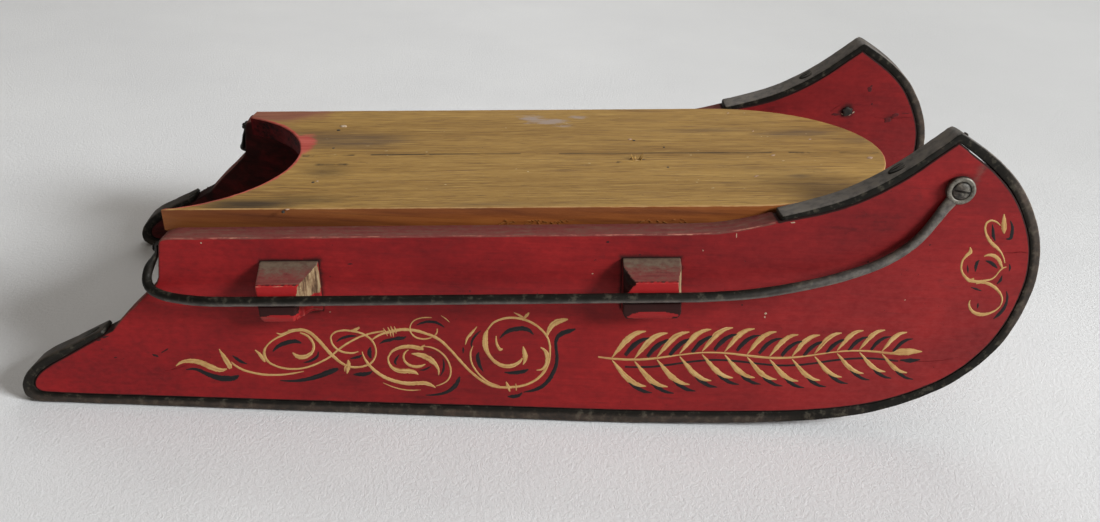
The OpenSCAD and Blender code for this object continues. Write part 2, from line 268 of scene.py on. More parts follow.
def near(p, q, chunk=400):
    d = np.empty(len(p)); ix = np.empty(len(p), int)
    for i in range(0, len(p), chunk):
        e = np.linalg.norm(p[i:i + chunk, None] - q[None], axis=2)
        ix[i:i + chunk] = e.argmin(1); d[i:i + chunk] = e.min(1)
    return d, ix

def fill(outer, holes, step, grooves=()):
    """Triangles over an outline with holes. Grooves are (line, half widths, depths).
    Returns points, triangles, drop of each point and the loops' own indices."""
    pts, edges, loops = [], [], []
    def put(loop, closed=True):
        n0 = len(pts)
        pts.extend(map(tuple, loop))
        n = len(loop)
        edges.extend((n0 + i, n0 + (i + 1) % n) for i in range(n if closed else n - 1))
        return list(range(n0, n0 + n))
    loops.append(put(outer))
    for h in holes:
        loops.append(put(h))
    drop = {}
    lines = []
    for line, hw, dep in grooves:
        t = unit(tangents(line))
        nrm = np.stack([-t[:, 1], t[:, 0]], -1)
        c = put(line[1:-1], False)
        for i, j in enumerate(c):
            drop[j] = dep[i + 1]
        put(line + nrm * hw[:, None], False)
        put(line - nrm * hw[:, None], False)
        lines.append(line)
    lo, hi = outer.min(0), outer.max(0)
    gx, gy = np.arange(lo[0], hi[0], step), np.arange(lo[1], hi[1], step * 0.9)
    g = np.array([(x + (step / 2 if j % 2 else 0), y) for j, y in enumerate(gy) for x in gx])
    ok = inside(g, outer)
    for h in holes:
        ok &= ~inside(g, h)
    g = g[ok]
    d, _ = near(g, np.concatenate([outer] + list(holes) + lines) if (holes or lines) else outer)
    g = g[d > step * 0.55]
    extra = []
    for q in (1.0, 2.4, 4.6):
        e = ring_in(outer, np.full(len(outer), q))
        e = e[inside(e, outer)]
        de, _ = near(e, outer)
        e = e[(de > q * 0.8)]
        for h in holes:
            e = e[~inside(e, h)]
        if lines:
            dl, _ = near(e, np.concatenate(lines))
            e = e[dl > 1.6]
        extra.append(e[::2] if q > 2 else e)
    allp = np.concatenate([np.array(pts)] + extra + [g])
    out = delaunay_2d_cdt([Vector(map(float, q)) for q in allp], edges, [], 0, 1e-5, True)
    v = np.array([tuple(q) for q in out[0]])
    f = np.array([t for t in out[2] if len(t) == 3])
    c = v[f].mean(1)
    ok = inside(c, outer)
    for h in holes:
        ok &= ~inside(c, h)
    f = f[ok]
    back = {}
    for i, src in enumerate(out[3]):
        for q in src:
            back[q] = i
    dv = np.zeros(len(v))
    for q, dep in drop.items():
        dv[back[q]] = dep
    return v, f, dv, [[back[i] for i in l] for l in loops]

def plank(outer, holes, thick, r_front, r_back, step, place, grooves=(), grooves_back=(), steps=4):
    """A board: its outline eased at both faces, with straight holes. Returns a dict of arrays.
    'layer' is 0 on the front face, 1 on the eased front edge, 2 on the wall, 3 on the back edge, 4 on the back."""
    n = len(outer)
    V, F, layer, src = [], [], [], []
    def put(xy, w, lay, s):
        i0 = sum(len(a) for a in V)
        V.append(np.column_stack([xy, np.broadcast_to(np.asarray(w, float), (len(xy),))]))
        layer.append(np.full(len(xy), lay)); src.append(np.asarray(s))
        return i0
    fv, ff, fd, fl = fill(ring_in(outer, r_front), holes, step, grooves)
    d, ix = near(fv, outer)
    i0 = put(fv, -fd, 0, ix)
    F += (ff + i0).tolist()
    front = [i0 + i for i in fl[0]]
    fh = [[i0 + i for i in l] for l in fl[1:]]
    bv, bf, bd, bl = fill(ring_in(outer, r_back), holes, step * 1.6, grooves_back)
    d, ix = near(bv, outer)
    i0 = put(bv, -thick + bd, 4, ix)
    F += (bf[:, ::-1] + i0).tolist()
    back = [i0 + i for i in bl[0]]
    bh = [[i0 + i for i in l] for l in bl[1:]]
    rows = [front]
    idx = np.arange(n)
    for k in range(1, steps + 1):
        a = math.pi / 2 * k / steps
        i0 = put(ring_in(outer, r_front * (1 - math.sin(a))), -r_front * (1 - math.cos(a)), 1 if k < steps else 2, idx)
        rows.append(list(range(i0, i0 + n)))
    for f in (0.33, 0.66):
        i0 = put(outer, -r_front + (r_front + r_back - thick) * f, 2, idx)
        rows.append(list(range(i0, i0 + n)))
    for k in range(steps, 0, -1):
        a = math.pi / 2 * k / steps
        i0 = put(ring_in(outer, r_back * (1 - math.sin(a))), -thick + r_back * (1 - math.cos(a)), 3 if k < steps else 2, idx)
        rows.append(list(range(i0, i0 + n)))
    rows.append(back)
    for a, b in zip(rows[:-1], rows[1:]):
        for i in range(n):
            j = (i + 1) % n
            F.append([a[i], b[i], b[j], a[j]])
    for a, b in zip(fh, bh):
        for i in range(len(a)):
            j = (i + 1) % len(a)
            F.append([a[i], a[j], b[j], b[i]])
    V = np.concatenate(V)
    return dict(v=V, f=F, layer=np.concatenate(layer), src=np.concatenate(src), outer=outer, rows=rows)

def grid_box(nx, ny, nz_):
    """Surface of a unit box as a welded grid; points run 0..1 each way."""
    seen, v, f = {}, [], []
    def at(i, j, k):
        key = (i, j, k)
        if key not in seen:
            seen[key] = len(v)
            v.append((i / nx, j / ny, k / nz_))
        return seen[key]
    for i in range(nx):
        for j in range(ny):
            f.append([at(i, j, nz_), at(i + 1, j, nz_), at(i + 1, j + 1, nz_), at(i, j + 1, nz_)])
            f.append([at(i, j, 0), at(i, j + 1, 0), at(i + 1, j + 1, 0), at(i + 1, j, 0)])
    for i in range(nx):
        for k in range(nz_):
            f.append([at(i, 0, k), at(i + 1, 0, k), at(i + 1, 0, k + 1), at(i, 0, k + 1)])
            f.append([at(i, ny, k), at(i, ny, k + 1), at(i + 1, ny, k + 1), at(i + 1, ny, k)])
    for j in range(ny):
        for k in range(nz_):
            f.append([at(0, j, k), at(0, j, k + 1), at(0, j + 1, k + 1), at(0, j + 1, k)])
            f.append([at(nx, j, k), at(nx, j + 1, k), at(nx, j + 1, k + 1), at(nx, j, k + 1)])
    return np.array(v), f

def round_box(p, lo, hi, r):
    """Points on a box moved so that its edges are rounded by r; also how near each is to an edge."""
    lo, hi = np.asarray(lo, float), np.asarray(hi, float)
    q = np.clip(p, lo + r, hi - r)
    d = p - q
    l = np.linalg.norm(d, axis=1)
    many = (np.abs(d) > 1e-9).sum(1) > 1
    out = p.copy()
    out[many] = q[many] + d[many] / l[many, None] * r
    e = np.minimum(p - lo, hi - p)
    e.sort(axis=1)
    return out, np.exp(-e[:, 1] / 1.6)

def tube(mids, half, ref, sides, caps=True):
    """Tube of changing oval section. mids (n,3), half (n,2), ref: the direction of the second half size."""
    t = unit(tangents(mids))
    ref = np.broadcast_to(np.asarray(ref, float), mids.shape)
    b = unit(ref - (ref * t).sum(1, keepdims=True) * t)
    nn = np.cross(b, t)
    g = 2 * math.pi * np.arange(sides) / sides
    v = (mids[:, None] + half[:, 0, None, None] * np.cos(g)[None, :, None] * nn[:, None]
         + half[:, 1, None, None] * np.sin(g)[None, :, None] * b[:, None]).reshape(-1, 3)
    f = []
    n = len(mids)
    for i in range(n - 1):
        for c in range(sides):
            a, d = i * sides + c, i * sides + (c + 1) % sides
            f.append([a, a + sides, d + sides, d])
    if caps:
        f.append(list(range(sides)))
        f.append([(n - 1) * sides + c for c in range(sides)][::-1])
    return v, f

def revolve(profile, n=48):
    """Profile of (radius, height) turned about the third axis; radius 0 ends close."""
    v, f, rows = [], [], []
    for r, h in profile:
        if r <= 1e-9:
            rows.append([len(v)] * n); v.append((0, 0, h))
        else:
            rows.append(list(range(len(v), len(v) + n)))
            v += [(r * math.cos(2 * math.pi * i / n), r * math.sin(2 * math.pi * i / n), h) for i in range(n)]
    for a, b in zip(rows[:-1], rows[1:]):
        for i in range(n):
            j = (i + 1) % n
            q = [a[i], a[j], b[j], b[i]]
            q = [x for c, x in enumerate(q) if x not in q[:c]]
            if len(q) > 2:
                f.append(q)
    return np.array(v, float), f

def slotted_head(r, dome, slot, deep, rim=0.5, n=40):
    """Screw head: low dome with a slot across, on a short rim, base at height 0."""
    v, f = [], []
    a0 = math.asin(slot / r)
    for side in (0, 1):
        ang = np.linspace(a0, math.pi - a0, n // 2 + 1)
        rows = []
        for q in (1.0, 0.97, 0.86, 0.7, 0.5, 0.28, 0.0):
            row = []
            for a in ang:
                x, y = r * math.cos(a) * 1.0, r * math.sin(a)
                y = slot + (y - slot) * q
                x = x * (q ** 0.35 if q > 0 else 0.0) if False else x
                xx = x
                rho = min(1.0, math.hypot(xx, y) / r)
                h = rim + dome * math.sqrt(max(0.0, 1 - rho * rho * 0.98))
                if q == 1.0:
                    h = rim
                row.append((xx, y, h))
            rows.append(row)
        base = [(x, y, 0.0) for x, y, h in rows[0]]
        floor_ = [(x, slot, rim + dome * 0.9 - deep) for x, y, h in rows[-1]]
        allrows = [base] + rows + [floor_]
        k0 = len(v)
        m = len(ang)
        for row in allrows:
            for x, y, h in row:
                v.append((-x, -y, h) if side else (x, y, h))
        for i in range(len(allrows) - 1):
            for j in range(m - 1):
                a = k0 + i * m + j
                f.append([a, a + 1, a + m + 1, a + m])
    zf = rim + dome * 0.9 - deep
    x = r * math.cos(a0)
    k = len(v)
    v += [(-x, -slot, zf), (x, -slot, zf), (x, slot, zf), (-x, slot, zf)]
    f.append([k, k + 1, k + 2, k + 3])
    return np.array(v, float), f

def placed(v, at, out, turn=0.0, hint=(1, 0, 0)):
    """Local (mm) points with the third axis along out, at a place in metres."""
    z = unit(np.asarray(out, float))
    x = np.asarray(hint, float)
    x = unit(x - (x * z).sum() * z)
    y = np.cross(z, x)
    c, s = math.cos(turn), math.sin(turn)
    X, Y = c * x + s * y, -s * x + c * y
    return np.asarray(at) + MM * (v[:, :1] * X + v[:, 1:2] * Y + v[:, 2:] * z)

def fleck(rx, ry, seed, high):
    """A small ragged patch, low in the middle of its own height, base let in."""
    n = 22
    ang = np.linspace(0, 2 * math.pi, n, False)
    ru = np.array([1 + 0.5 * nz(math.cos(a) * 1.6 + seed * 3, math.sin(a) * 1.6) for a in ang])
    q = np.column_stack([rx * ru * np.cos(ang), ry * ru * np.sin(ang)])
    rows = [np.column_stack([q * s, np.full(n, h)]) for s, h in ((1.0, -0.4), (0.92, high * 0.25), (0.6, high * 0.85))]
    vv = np.concatenate(rows + [np.array([[0, 0, high]])])
    ff = [[r * n + j, r * n + (j + 1) % n, (r + 1) * n + (j + 1) % n, (r + 1) * n + j] for r in range(2) for j in range(n)]
    return vv, ff + [[2 * n + j, 2 * n + (j + 1) % n, 3 * n] for j in range(n)]

# ================================================================ materials
class Mat:
    """Short names for shader nodes."""
    def __init__(self, name):
        self.m = bpy.data.materials.new(name)
        self.m.use_nodes = True
        self.t = self.m.node_tree
        self.b = self.t.nodes["Principled BSDF"]
        self.obj = self.t.nodes.new("ShaderNodeTexCoord").outputs["Object"]

    def n(self, kind, **kw):
        node = self.t.nodes.new("ShaderNode" + kind)
        for k, v in kw.items():
            setattr(node, k, v)
        return node

    def set(self, sock, val):
        if hasattr(val, "is_output"):
            self.t.links.new(val, sock)
        else:
            sock.default_value = val

    def scaled(self, v, scale, loc=(0, 0, 0), rot=(0, 0, 0)):
        q = self.n("Mapping")
        self.set(q.inputs[0], v)
        q.inputs[1].default_value, q.inputs[2].default_value, q.inputs[3].default_value = loc, rot, scale
        return q.outputs[0]

    def noise(self, v, scale=1.0, detail=4.0, rough=0.55, dist=0.0):
        q = self.n("TexNoise")
        self.set(q.inputs["Vector"], v)
        q.inputs["Scale"].default_value, q.inputs["Detail"].default_value = scale, detail
        q.inputs["Roughness"].default_value, q.inputs["Distortion"].default_value = rough, dist
        return q.outputs["Fac"]

    def cells(self, v, scale=1.0, feature="F1", rand=1.0):
        q = self.n("TexVoronoi", feature=feature)
        self.set(q.inputs["Vector"], v)
        q.inputs["Scale"].default_value = scale
        q.inputs["Randomness"].default_value = rand
        return q.outputs["Distance"]

    def ramp(self, f, stops, ease="LINEAR"):
        q = self.n("ValToRGB")
        q.color_ramp.interpolation = ease
        self.set(q.inputs[0], f)
        e = q.color_ramp.elements
        while len(e) < len(stops):
            e.new(0.5)
        for el, (p, c) in zip(e, stops):
            el.position = p
            el.color = (*c, 1) if len(c) == 3 else c
        return q.outputs[0]

    def span(self, f, a, b, c=0.0, d=1.0):
        """a..b of f stretched to c..d, held at the ends, with soft ends."""
        q = self.n("MapRange", interpolation_type="SMOOTHSTEP")
        self.set(q.inputs[0], f)
        for i, x in zip((1, 2, 3, 4), (a, b, c, d)):
            q.inputs[i].default_value = x
        return q.outputs[0]

    def math(self, op, a, b=0.0, clamp=False):
        q = self.n("Math", operation=op, use_clamp=clamp)
        self.set(q.inputs[0], a); self.set(q.inputs[1], b)
        return q.outputs[0]

    def mix(self, f, a, b, mode="MIX"):
        q = self.n("Mix", data_type="RGBA", blend_type=mode)
        self.set(q.inputs[0], f)
        for s, val in ((q.inputs[6], a), (q.inputs[7], b)):
            self.set(s, (*val, 1) if isinstance(val, tuple) and len(val) == 3 else val)
        return q.outputs[2]

    def attr(self, name):
        return self.n("Attribute", attribute_name=name).outputs["Fac"]

    def split(self, v):
        q = self.n("SeparateXYZ")
        self.set(q.inputs[0], v)
        return q.outputs

    def bump(self, h, strength, dist, normal=None):
        q = self.n("Bump")
        q.inputs["Strength"].default_value, q.inputs["Distance"].default_value = strength, dist
        self.set(q.inputs["Height"], h)
        if normal is not None:
            self.set(q.inputs["Normal"], normal)
        return q.outputs[0]

def lin(r, g, b):
    return tuple((c / 255 / 12.92) if c / 255 <= 0.04045 else ((c / 255 + 0.055) / 1.055) ** 2.4 for c in (r, g, b))

def red_paint(name):
    """Old red paint on wood: mottled, dirty, grain showing through. Reads wear (edges), bare (paint rubbed to a dull
    mauve), raw (broken wood), grime_and_shade (packed dirt, and painted shade in creases and shaded places) and
    lit_and_rubbed (painted highlight on the lit tenon ends, and their rubbed feet)."""
    M = Mat(name)
    o = M.obj
    big = M.noise(M.scaled(o, (5, 9, 9)), 1, 4, 0.55)
    mid = M.noise(M.scaled(o, (22, 40, 40)), 1, 5, 0.6)
    g1 = M.noise(M.scaled(o, (16, 330, 330)), 1, 4, 0.55, 0.25)
    g2 = M.noise(M.scaled(o, (34, 900, 900)), 1, 3, 0.6, 0.2)
    mot = M.noise(M.scaled(o, (150, 230, 230), (7, 3, 3)), 1, 5, 0.7)
    tone = M.math("ADD", M.math("MULTIPLY", big, 0.38), M.math("ADD", M.math("MULTIPLY", mid, 0.28), M.math("ADD", M.math("MULTIPLY", g1, 0.14), M.math("MULTIPLY", mot, 0.20))))
    c = M.ramp(tone, [(0.34, lin(82, 17, 20)), (0.44, lin(115, 21, 24)), (0.53, lin(133, 25, 27)), (0.64, lin(156, 33, 33))])
    # grain lines under the paint
    c = M.mix(M.span(g2, 0.56, 0.74, 0, 0.35), c, lin(94, 24, 25), "MIX")
    c = M.mix(M.span(g1, 0.60, 0.74, 0, 0.25), c, lin(98, 18, 23), "MIX")
    # painted light: brighter, redder paint towards the heel, making up for the key light falling off to the left
    heel = M.span(M.split(o)[0], -0.42, -0.02, 1.0, 0.0)
    c = M.mix(M.math("MULTIPLY", heel, M.span(mot, 0.35, 0.65, 0.0, 0.3)), c, lin(152, 26, 32))
    # and a pinkish painted sheen towards the front, as of light glancing off the paint there
    dull = M.span(M.split(o)[0], 0.06, 0.34)
    dull = M.math("MULTIPLY", dull, M.span(M.split(o)[2], 0.11, 0.21, 1.0, 0.25))
    c = M.mix(M.math("MULTIPLY", dull, M.span(mot, 0.35, 0.65, 0.1, 0.34)), c, lin(130, 52, 50))
    # dull smudges and dark specks
    sm = M.noise(M.scaled(o, (34, 60, 60), (3, 1, 7)), 1, 6, 0.65, 0.6)
    c = M.mix(M.span(sm, 0.60, 0.78, 0, 0.5), c, lin(86, 30, 32))
    sp = M.noise(M.scaled(o, (420, 520, 520), (9, 2, 4)), 1, 2, 0.5)
    c = M.mix(M.span(sp, 0.72, 0.78, 0, 0.7), c, lin(50, 20, 20))
    # paint rubbed thin
    bare = M.attr("bare")
    bn = M.noise(M.scaled(o, (30, 240, 240), (2, 2, 2)), 1, 5, 0.6)
    bm = M.span(M.math("ADD", bare, M.math("MULTIPLY", M.math("SUBTRACT", bn, 0.5), 0.7)), 0.22, 0.62)
    bc = M.ramp(M.math("ADD", M.math("MULTIPLY", g1, 0.5), M.math("MULTIPLY", mot, 0.5)),
                [(0.32, lin(84, 44, 42)), (0.46, lin(116, 59, 55)), (0.56, lin(108, 71, 62)), (0.70, lin(132, 90, 80))])
    # painted highlight: brighter red where the tenon ends face the light, and on their rubbed feet
    c = M.mix(M.math("MULTIPLY", M.attr("lit_and_rubbed"), 0.7), c, lin(176, 34, 36))
    c = M.mix(M.math("MULTIPLY", bm, 0.9), c, bc)
    gy = M.span(M.math("ADD", M.attr("grey"), M.math("MULTIPLY", M.math("SUBTRACT", mot, 0.5), 1.0)), 0.3, 0.9)
    c = M.mix(M.math("MULTIPLY", gy, 0.85), c, M.ramp(mot, [(0.35, lin(82, 72, 60)), (0.6, lin(104, 92, 77))]))
    # worn edges
    wear = M.attr("wear")
    wn = M.noise(M.scaled(o, (110, 260, 260), (4, 0, 1)), 1, 5, 0.65)
    wm = M.span(M.math("ADD", wear, M.math("MULTIPLY", M.math("SUBTRACT", wn, 0.5), 1.5)), 0.72, 1.05)
    wc = M.ramp(g2, [(0.35, lin(150, 74, 68)), (0.55, lin(182, 110, 96)), (0.7, lin(196, 150, 122))])
    c = M.mix(M.math("MULTIPLY", wm, 0.85), c, wc)
    # broken wood
    raw = M.attr("raw")
    rn = M.noise(M.scaled(o, (560, 45, 45), (6, 3, 1)), 1, 4, 0.6)
    rc = M.ramp(rn, [(0.34, lin(74, 54, 40)), (0.46, lin(118, 92, 68)), (0.56, lin(142, 120, 90)), (0.70, lin(168, 148, 116))])
    rm = M.span(M.math("ADD", raw, M.math("MULTIPLY", M.math("SUBTRACT", bn, 0.5), 0.5)), 0.40, 0.60)
    c = M.mix(rm, c, rc)
    # packed dirt, and painted shade in creases and shaded places
    gr = M.attr("grime_and_shade")
    gm = M.span(M.math("ADD", gr, M.math("MULTIPLY", M.math("SUBTRACT", sm, 0.5), 0.7)), 0.25, 0.85)
    c = M.mix(M.math("MULTIPLY", gm, 0.93), c, lin(30, 20, 18))
    M.set(M.b.inputs["Base Color"], c)
    rough = M.math("ADD", M.span(mid, 0.3, 0.7, 0.46, 0.60), M.math("MULTIPLY", M.math("MAXIMUM", rm, M.math("MAXIMUM", bm, gm)), 0.25))
    M.set(M.b.inputs["Roughness"], rough)
    M.b.inputs["Specular IOR Level"].default_value = 0.19
    h = M.math("ADD", M.math("MULTIPLY", g1, 0.55), M.math("ADD", M.math("MULTIPLY", g2, 0.35), M.math("MULTIPLY", M.math("MULTIPLY", rm, rn), 1.2)))
    h = M.math("SUBTRACT", h, M.math("MULTIPLY", M.math("MAXIMUM", M.span(sp, 0.72, 0.78), wm), 0.35))
    M.set(M.b.inputs["Normal"], M.bump(h, 0.5, 0.0005))
    return M.m

def pine(name):
    """Bare pine board: long fine grain, golden to brown, with stains. Reads side (sawn edge), redwall,
    pink (paint left along the notch), mauve (paint rubbed into the far rear corner), stain, lilac (old spill) and wear."""
    M = Mat(name)
    o = M.obj
    wob = M.noise(M.scaled(o, (4, 9, 9)), 1, 2, 0.5)
    s = M.split(o)
    y = M.math("ADD", s[1], M.math("MULTIPLY", M.math("SUBTRACT", wob, 0.5), 0.012))
    q = M.n("CombineXYZ")
    M.set(q.inputs[0], s[0]); M.set(q.inputs[1], y); M.set(q.inputs[2], s[2])
    p = q.outputs[0]
    band = M.noise(M.scaled(p, (1.6, 34, 34)), 1, 3, 0.5)
    g1 = M.noise(M.scaled(p, (3.2, 210, 210)), 1, 4, 0.55)
    g2 = M.noise(M.scaled(p, (2.6, 430, 430)), 1, 3, 0.6)
    g3 = M.noise(M.scaled(p, (9, 1000, 1000)), 1, 2, 0.6)
    tone = M.math("ADD", M.math("MULTIPLY", band, 0.36), M.math("ADD", M.math("MULTIPLY", g1, 0.36), M.math("MULTIPLY", g2, 0.28)))
    c = M.ramp(tone, [(0.33, lin(117, 83, 44)), (0.44, lin(149, 113, 56)), (0.54, lin(167, 129, 65)), (0.68, lin(194, 156, 86))])
    c = M.mix(M.span(g1, 0.55, 0.70, 0, 0.7), c, lin(116, 79, 35))
    c = M.mix(M.span(g2, 0.54, 0.66, 0, 0.55), c, lin(102, 70, 32))
    c = M.mix(M.span(g3, 0.56, 0.68, 0, 0.5), c, lin(86, 58, 28))
    c = M.mix(M.span(g2, 0.46, 0.34, 0, 0.42), c, lin(206, 168, 96))
    # slow drifts: greyer to the rear, more golden to the front
    st = M.attr("stain")
    sn = M.noise(M.scaled(o, (9, 26, 26), (3, 3, 3)), 1, 5, 0.6)
    sm = M.span(M.math("ADD", st, M.math("MULTIPLY", M.math("SUBTRACT", sn, 0.5), 1.2)), 0.25, 0.95)
    c = M.mix(M.math("MULTIPLY", sm, M.span(g2, 0.35, 0.65, 0.5, 0.78)), c, lin(88, 68, 52))
    dk_ = M.noise(M.scaled(o, (5, 60, 60), (8, 1, 2)), 1, 4, 0.6)
    c = M.mix(M.span(dk_, 0.56, 0.74, 0, 0.3), c, lin(108, 78, 44))
    # flecks
    fk1 = M.noise(M.scaled(o, (260, 420, 420), (2, 7, 2)), 1, 2, 0.5)
    c = M.mix(M.span(fk1, 0.73, 0.78, 0, 0.6), c, lin(74, 54, 40))
    fk2 = M.noise(M.scaled(o, (180, 330, 330), (6, 1, 9)), 1, 1, 0.5)
    c = M.mix(M.math("MULTIPLY", M.span(fk2, 0.75, 0.79), M.span(sn, 0.5, 0.62)), c, lin(206, 188, 150))
    # an old pale spill, scratched through
    li = M.attr("lilac")
    ln = M.noise(M.scaled(o, (60, 140, 140), (1, 4, 4)), 1, 6, 0.7)
    lm = M.span(M.math("ADD", li, M.math("MULTIPLY", M.math("SUBTRACT", ln, 0.5), 1.9)), 0.55, 1.0)
    c = M.mix(M.math("MULTIPLY", lm, 0.72), c, lin(168, 152, 146))
    # sawn edge, stained darker
    sd = M.attr("side")
    e1 = M.noise(M.scaled(o, (7, 60, 90), (3, 0, 0)), 1, 5, 0.6)
    ec = M.ramp(e1, [(0.3, lin(104, 54, 24)), (0.48, lin(138, 77, 33)), (0.6, lin(152, 90, 40)), (0.72, lin(132, 72, 33))])
    ec = M.mix(M.span(s[0], -0.28, 0.02, 0.45, 0.0), ec, lin(70, 38, 24))
    ec = M.mix(M.span(g2, 0.57, 0.74, 0, 0.3), ec, lin(84, 46, 26))
    c = M.mix(M.span(sd, 0.35, 0.75), c, ec)
    # worn arris
    wr = M.attr("wear")
    wm = M.span(M.math("ADD", wr, M.math("MULTIPLY", M.math("SUBTRACT", ln, 0.5), 1.2)), 0.7, 1.1)
    c = M.mix(M.math("MULTIPLY", wm, 0.6), c, lin(190, 152, 104))
    # paint round the notch
    pk = M.attr("pink")
    pm = M.span(M.math("ADD", pk, M.math("MULTIPLY", M.math("SUBTRACT", ln, 0.5), 1.0)), 0.45, 0.85)
    c = M.mix(M.math("MULTIPLY", pm, 0.88), c, M.ramp(g1, [(0.35, lin(176, 58, 56)), (0.6, lin(200, 88, 80))]))
    mv = M.attr("mauve")
    mm = M.span(M.math("ADD", mv, M.math("MULTIPLY", M.math("SUBTRACT", ln, 0.5), 0.9)), 0.3, 0.9)
    c = M.mix(M.math("MULTIPLY", mm, 0.85), c, M.ramp(g2, [(0.38, lin(122, 62, 54)), (0.6, lin(148, 88, 72))]))
    rw = M.attr("redwall")
    rwc = M.ramp(ln, [(0.36, lin(30, 15, 15)), (0.46, lin(78, 20, 22)), (0.62, lin(104, 26, 28))])
    c = M.mix(M.span(M.math("ADD", rw, M.math("MULTIPLY", M.math("SUBTRACT", ln, 0.5), 0.4)), 0.4, 0.7), c, rwc)
    gr = M.attr("grime_and_shade")
    c = M.mix(M.span(M.math("ADD", gr, M.math("MULTIPLY", M.math("SUBTRACT", sn, 0.5), 0.5)), 0.3, 0.9, 0, 0.92), c, lin(34, 24, 18))
    M.set(M.b.inputs["Base Color"], c)
    M.set(M.b.inputs["Roughness"], M.span(tone, 0.35, 0.65, 0.62, 0.48))
    M.set(M.b.inputs["Specular IOR Level"], M.span(rw, 0.2, 0.8, 0.3, 0.03))
    h = M.math("ADD", M.math("MULTIPLY", g1, 0.7), M.math("ADD", M.math("MULTIPLY", g2, 0.6), M.math("MULTIPLY", g3, 0.25)))
    M.set(M.b.inputs["Normal"], M.bump(h, 0.55, 0.0006))
    return M.m

def iron(name, pale=0.0):
    """Dark wrought iron: black scale, thin brown rust, rubbed edges. Reads wear, dust_and_highlight and grime_and_shade
    (dirt, and painted shade where the iron meets the wood).
    """
    M = Mat(name)
    o = M.obj
    a = M.noise(o, 38, 6, 0.62)
    b = M.noise(M.scaled(o, (1, 1, 1), (4, 4, 4)), 150, 5, 0.65)
    f = M.noise(o, 620, 3, 0.6)
    c = M.ramp(M.math("ADD", M.math("MULTIPLY", a, 0.6), M.math("MULTIPLY", b, 0.4)),
               [(0.34, lin(32, 30, 27)), (0.48, lin(52, 48, 43)), (0.58, lin(68, 62, 56)), (0.7, lin(90, 84, 76))])
    rust = M.noise(M.scaled(o, (1, 1, 1), (9, 2, 5)), 24, 7, 0.68, 0.4)
    c = M.mix(M.span(rust, 0.52, 0.70, 0, 0.7), c, M.ramp(b, [(0.35, lin(52, 36, 28)), (0.6, lin(86, 60, 44))]))
    # rubbed grey and dust along the faces that take the wear, and a painted highlight along the rod's front
    du = M.attr("dust_and_highlight")
    dm = M.span(M.math("ADD", du, M.math("MULTIPLY", M.math("SUBTRACT", a, 0.5), 0.9)), 0.25, 0.95)
    c = M.mix(M.math("MULTIPLY", dm, 0.85), c, M.ramp(b, [(0.34, lin(82, 78, 74)), (0.5, lin(110, 104, 99)), (0.66, lin(134, 127, 119))]))
    # brown rust on the bent-up front
    br = M.attr("brown")
    c = M.mix(M.math("MULTIPLY", br, M.span(b, 0.35, 0.6, 0.5, 0.9)), c, M.ramp(b, [(0.35, lin(62, 46, 36)), (0.6, lin(100, 77, 60))]))
    wear = M.attr("wear")
    wm = M.span(M.math("ADD", wear, M.math("MULTIPLY", M.math("SUBTRACT", b, 0.5), 1.5)), 0.55, 1.05)
    c = M.mix(M.math("MULTIPLY", wm, 0.75), c, M.ramp(f, [(0.35, lin(104, 98, 88)), (0.65, lin(142, 137, 126))]))
    gr = M.attr("grime_and_shade")
    gm = M.span(M.math("ADD", gr, M.math("MULTIPLY", M.math("SUBTRACT", a, 0.5), 0.6)), 0.25, 0.85)
    c = M.mix(M.math("MULTIPLY", gm, 0.88), c, lin(19, 18, 14))
    # dusty flecks over it all
    c = M.mix(M.span(b, 0.52, 0.67, 0, 0.42), c, lin(98, 92, 79))
    M.set(M.b.inputs["Base Color"], c)
    M.set(M.b.inputs["Specular IOR Level"], M.span(gm, 0.2, 0.9, 0.5, 0.2))
    M.set(M.b.inputs["Metallic"], M.math("SUBTRACT", 0.45, M.span(rust, 0.5, 0.7, 0, 0.35)))
    M.set(M.b.inputs["Roughness"], M.math("SUBTRACT", M.span(b, 0.3, 0.7, 0.50, 0.66), M.math("MULTIPLY", wm, 0.14)))
    h = M.math("ADD", M.math("MULTIPLY", a, 0.8), M.math("ADD", M.math("MULTIPLY", b, 0.5), M.math("MULTIPLY", f, 0.2)))
    M.set(M.b.inputs["Normal"], M.bump(h, 0.55, 0.0009))
    return M.m

def brush_paint(name, stops, worn):
    """Hand-laid paint: streaks along the brush's way, thin in places. The layer 'along' runs with the stroke."""
    M = Mat(name)
    uv = M.n("UVMap", uv_map="along").outputs[0]
    st = M.noise(M.scaled(uv, (30, 3.2, 1)), 1, 4, 0.6)
    n1 = M.noise(M.obj, 210, 5, 0.65)
    n2 = M.noise(M.obj, 900, 2, 0.6)
    c = M.ramp(M.math("ADD", M.math("MULTIPLY", st, 0.65), M.math("MULTIPLY", n1, 0.35)), stops)
    thin = M.attr("thin")
    m = M.span(M.math("ADD", thin, M.math("ADD", M.math("MULTIPLY", M.math("SUBTRACT", n1, 0.5), 1.0), M.math("MULTIPLY", M.math("SUBTRACT", st, 0.5), 0.8))), 0.45, 1.05)
    c = M.mix(M.math("MULTIPLY", m, 0.8), c, worn)
    M.set(M.b.inputs["Base Color"], c)
    M.set(M.b.inputs["Roughness"], M.span(n1, 0.3, 0.7, 0.55, 0.72))
    M.b.inputs["Specular IOR Level"].default_value = 0.16
    M.set(M.b.inputs["Normal"], M.bump(M.math("ADD", st, M.math("MULTIPLY", n2, 0.4)), 0.4, 0.0003))
    return M.m

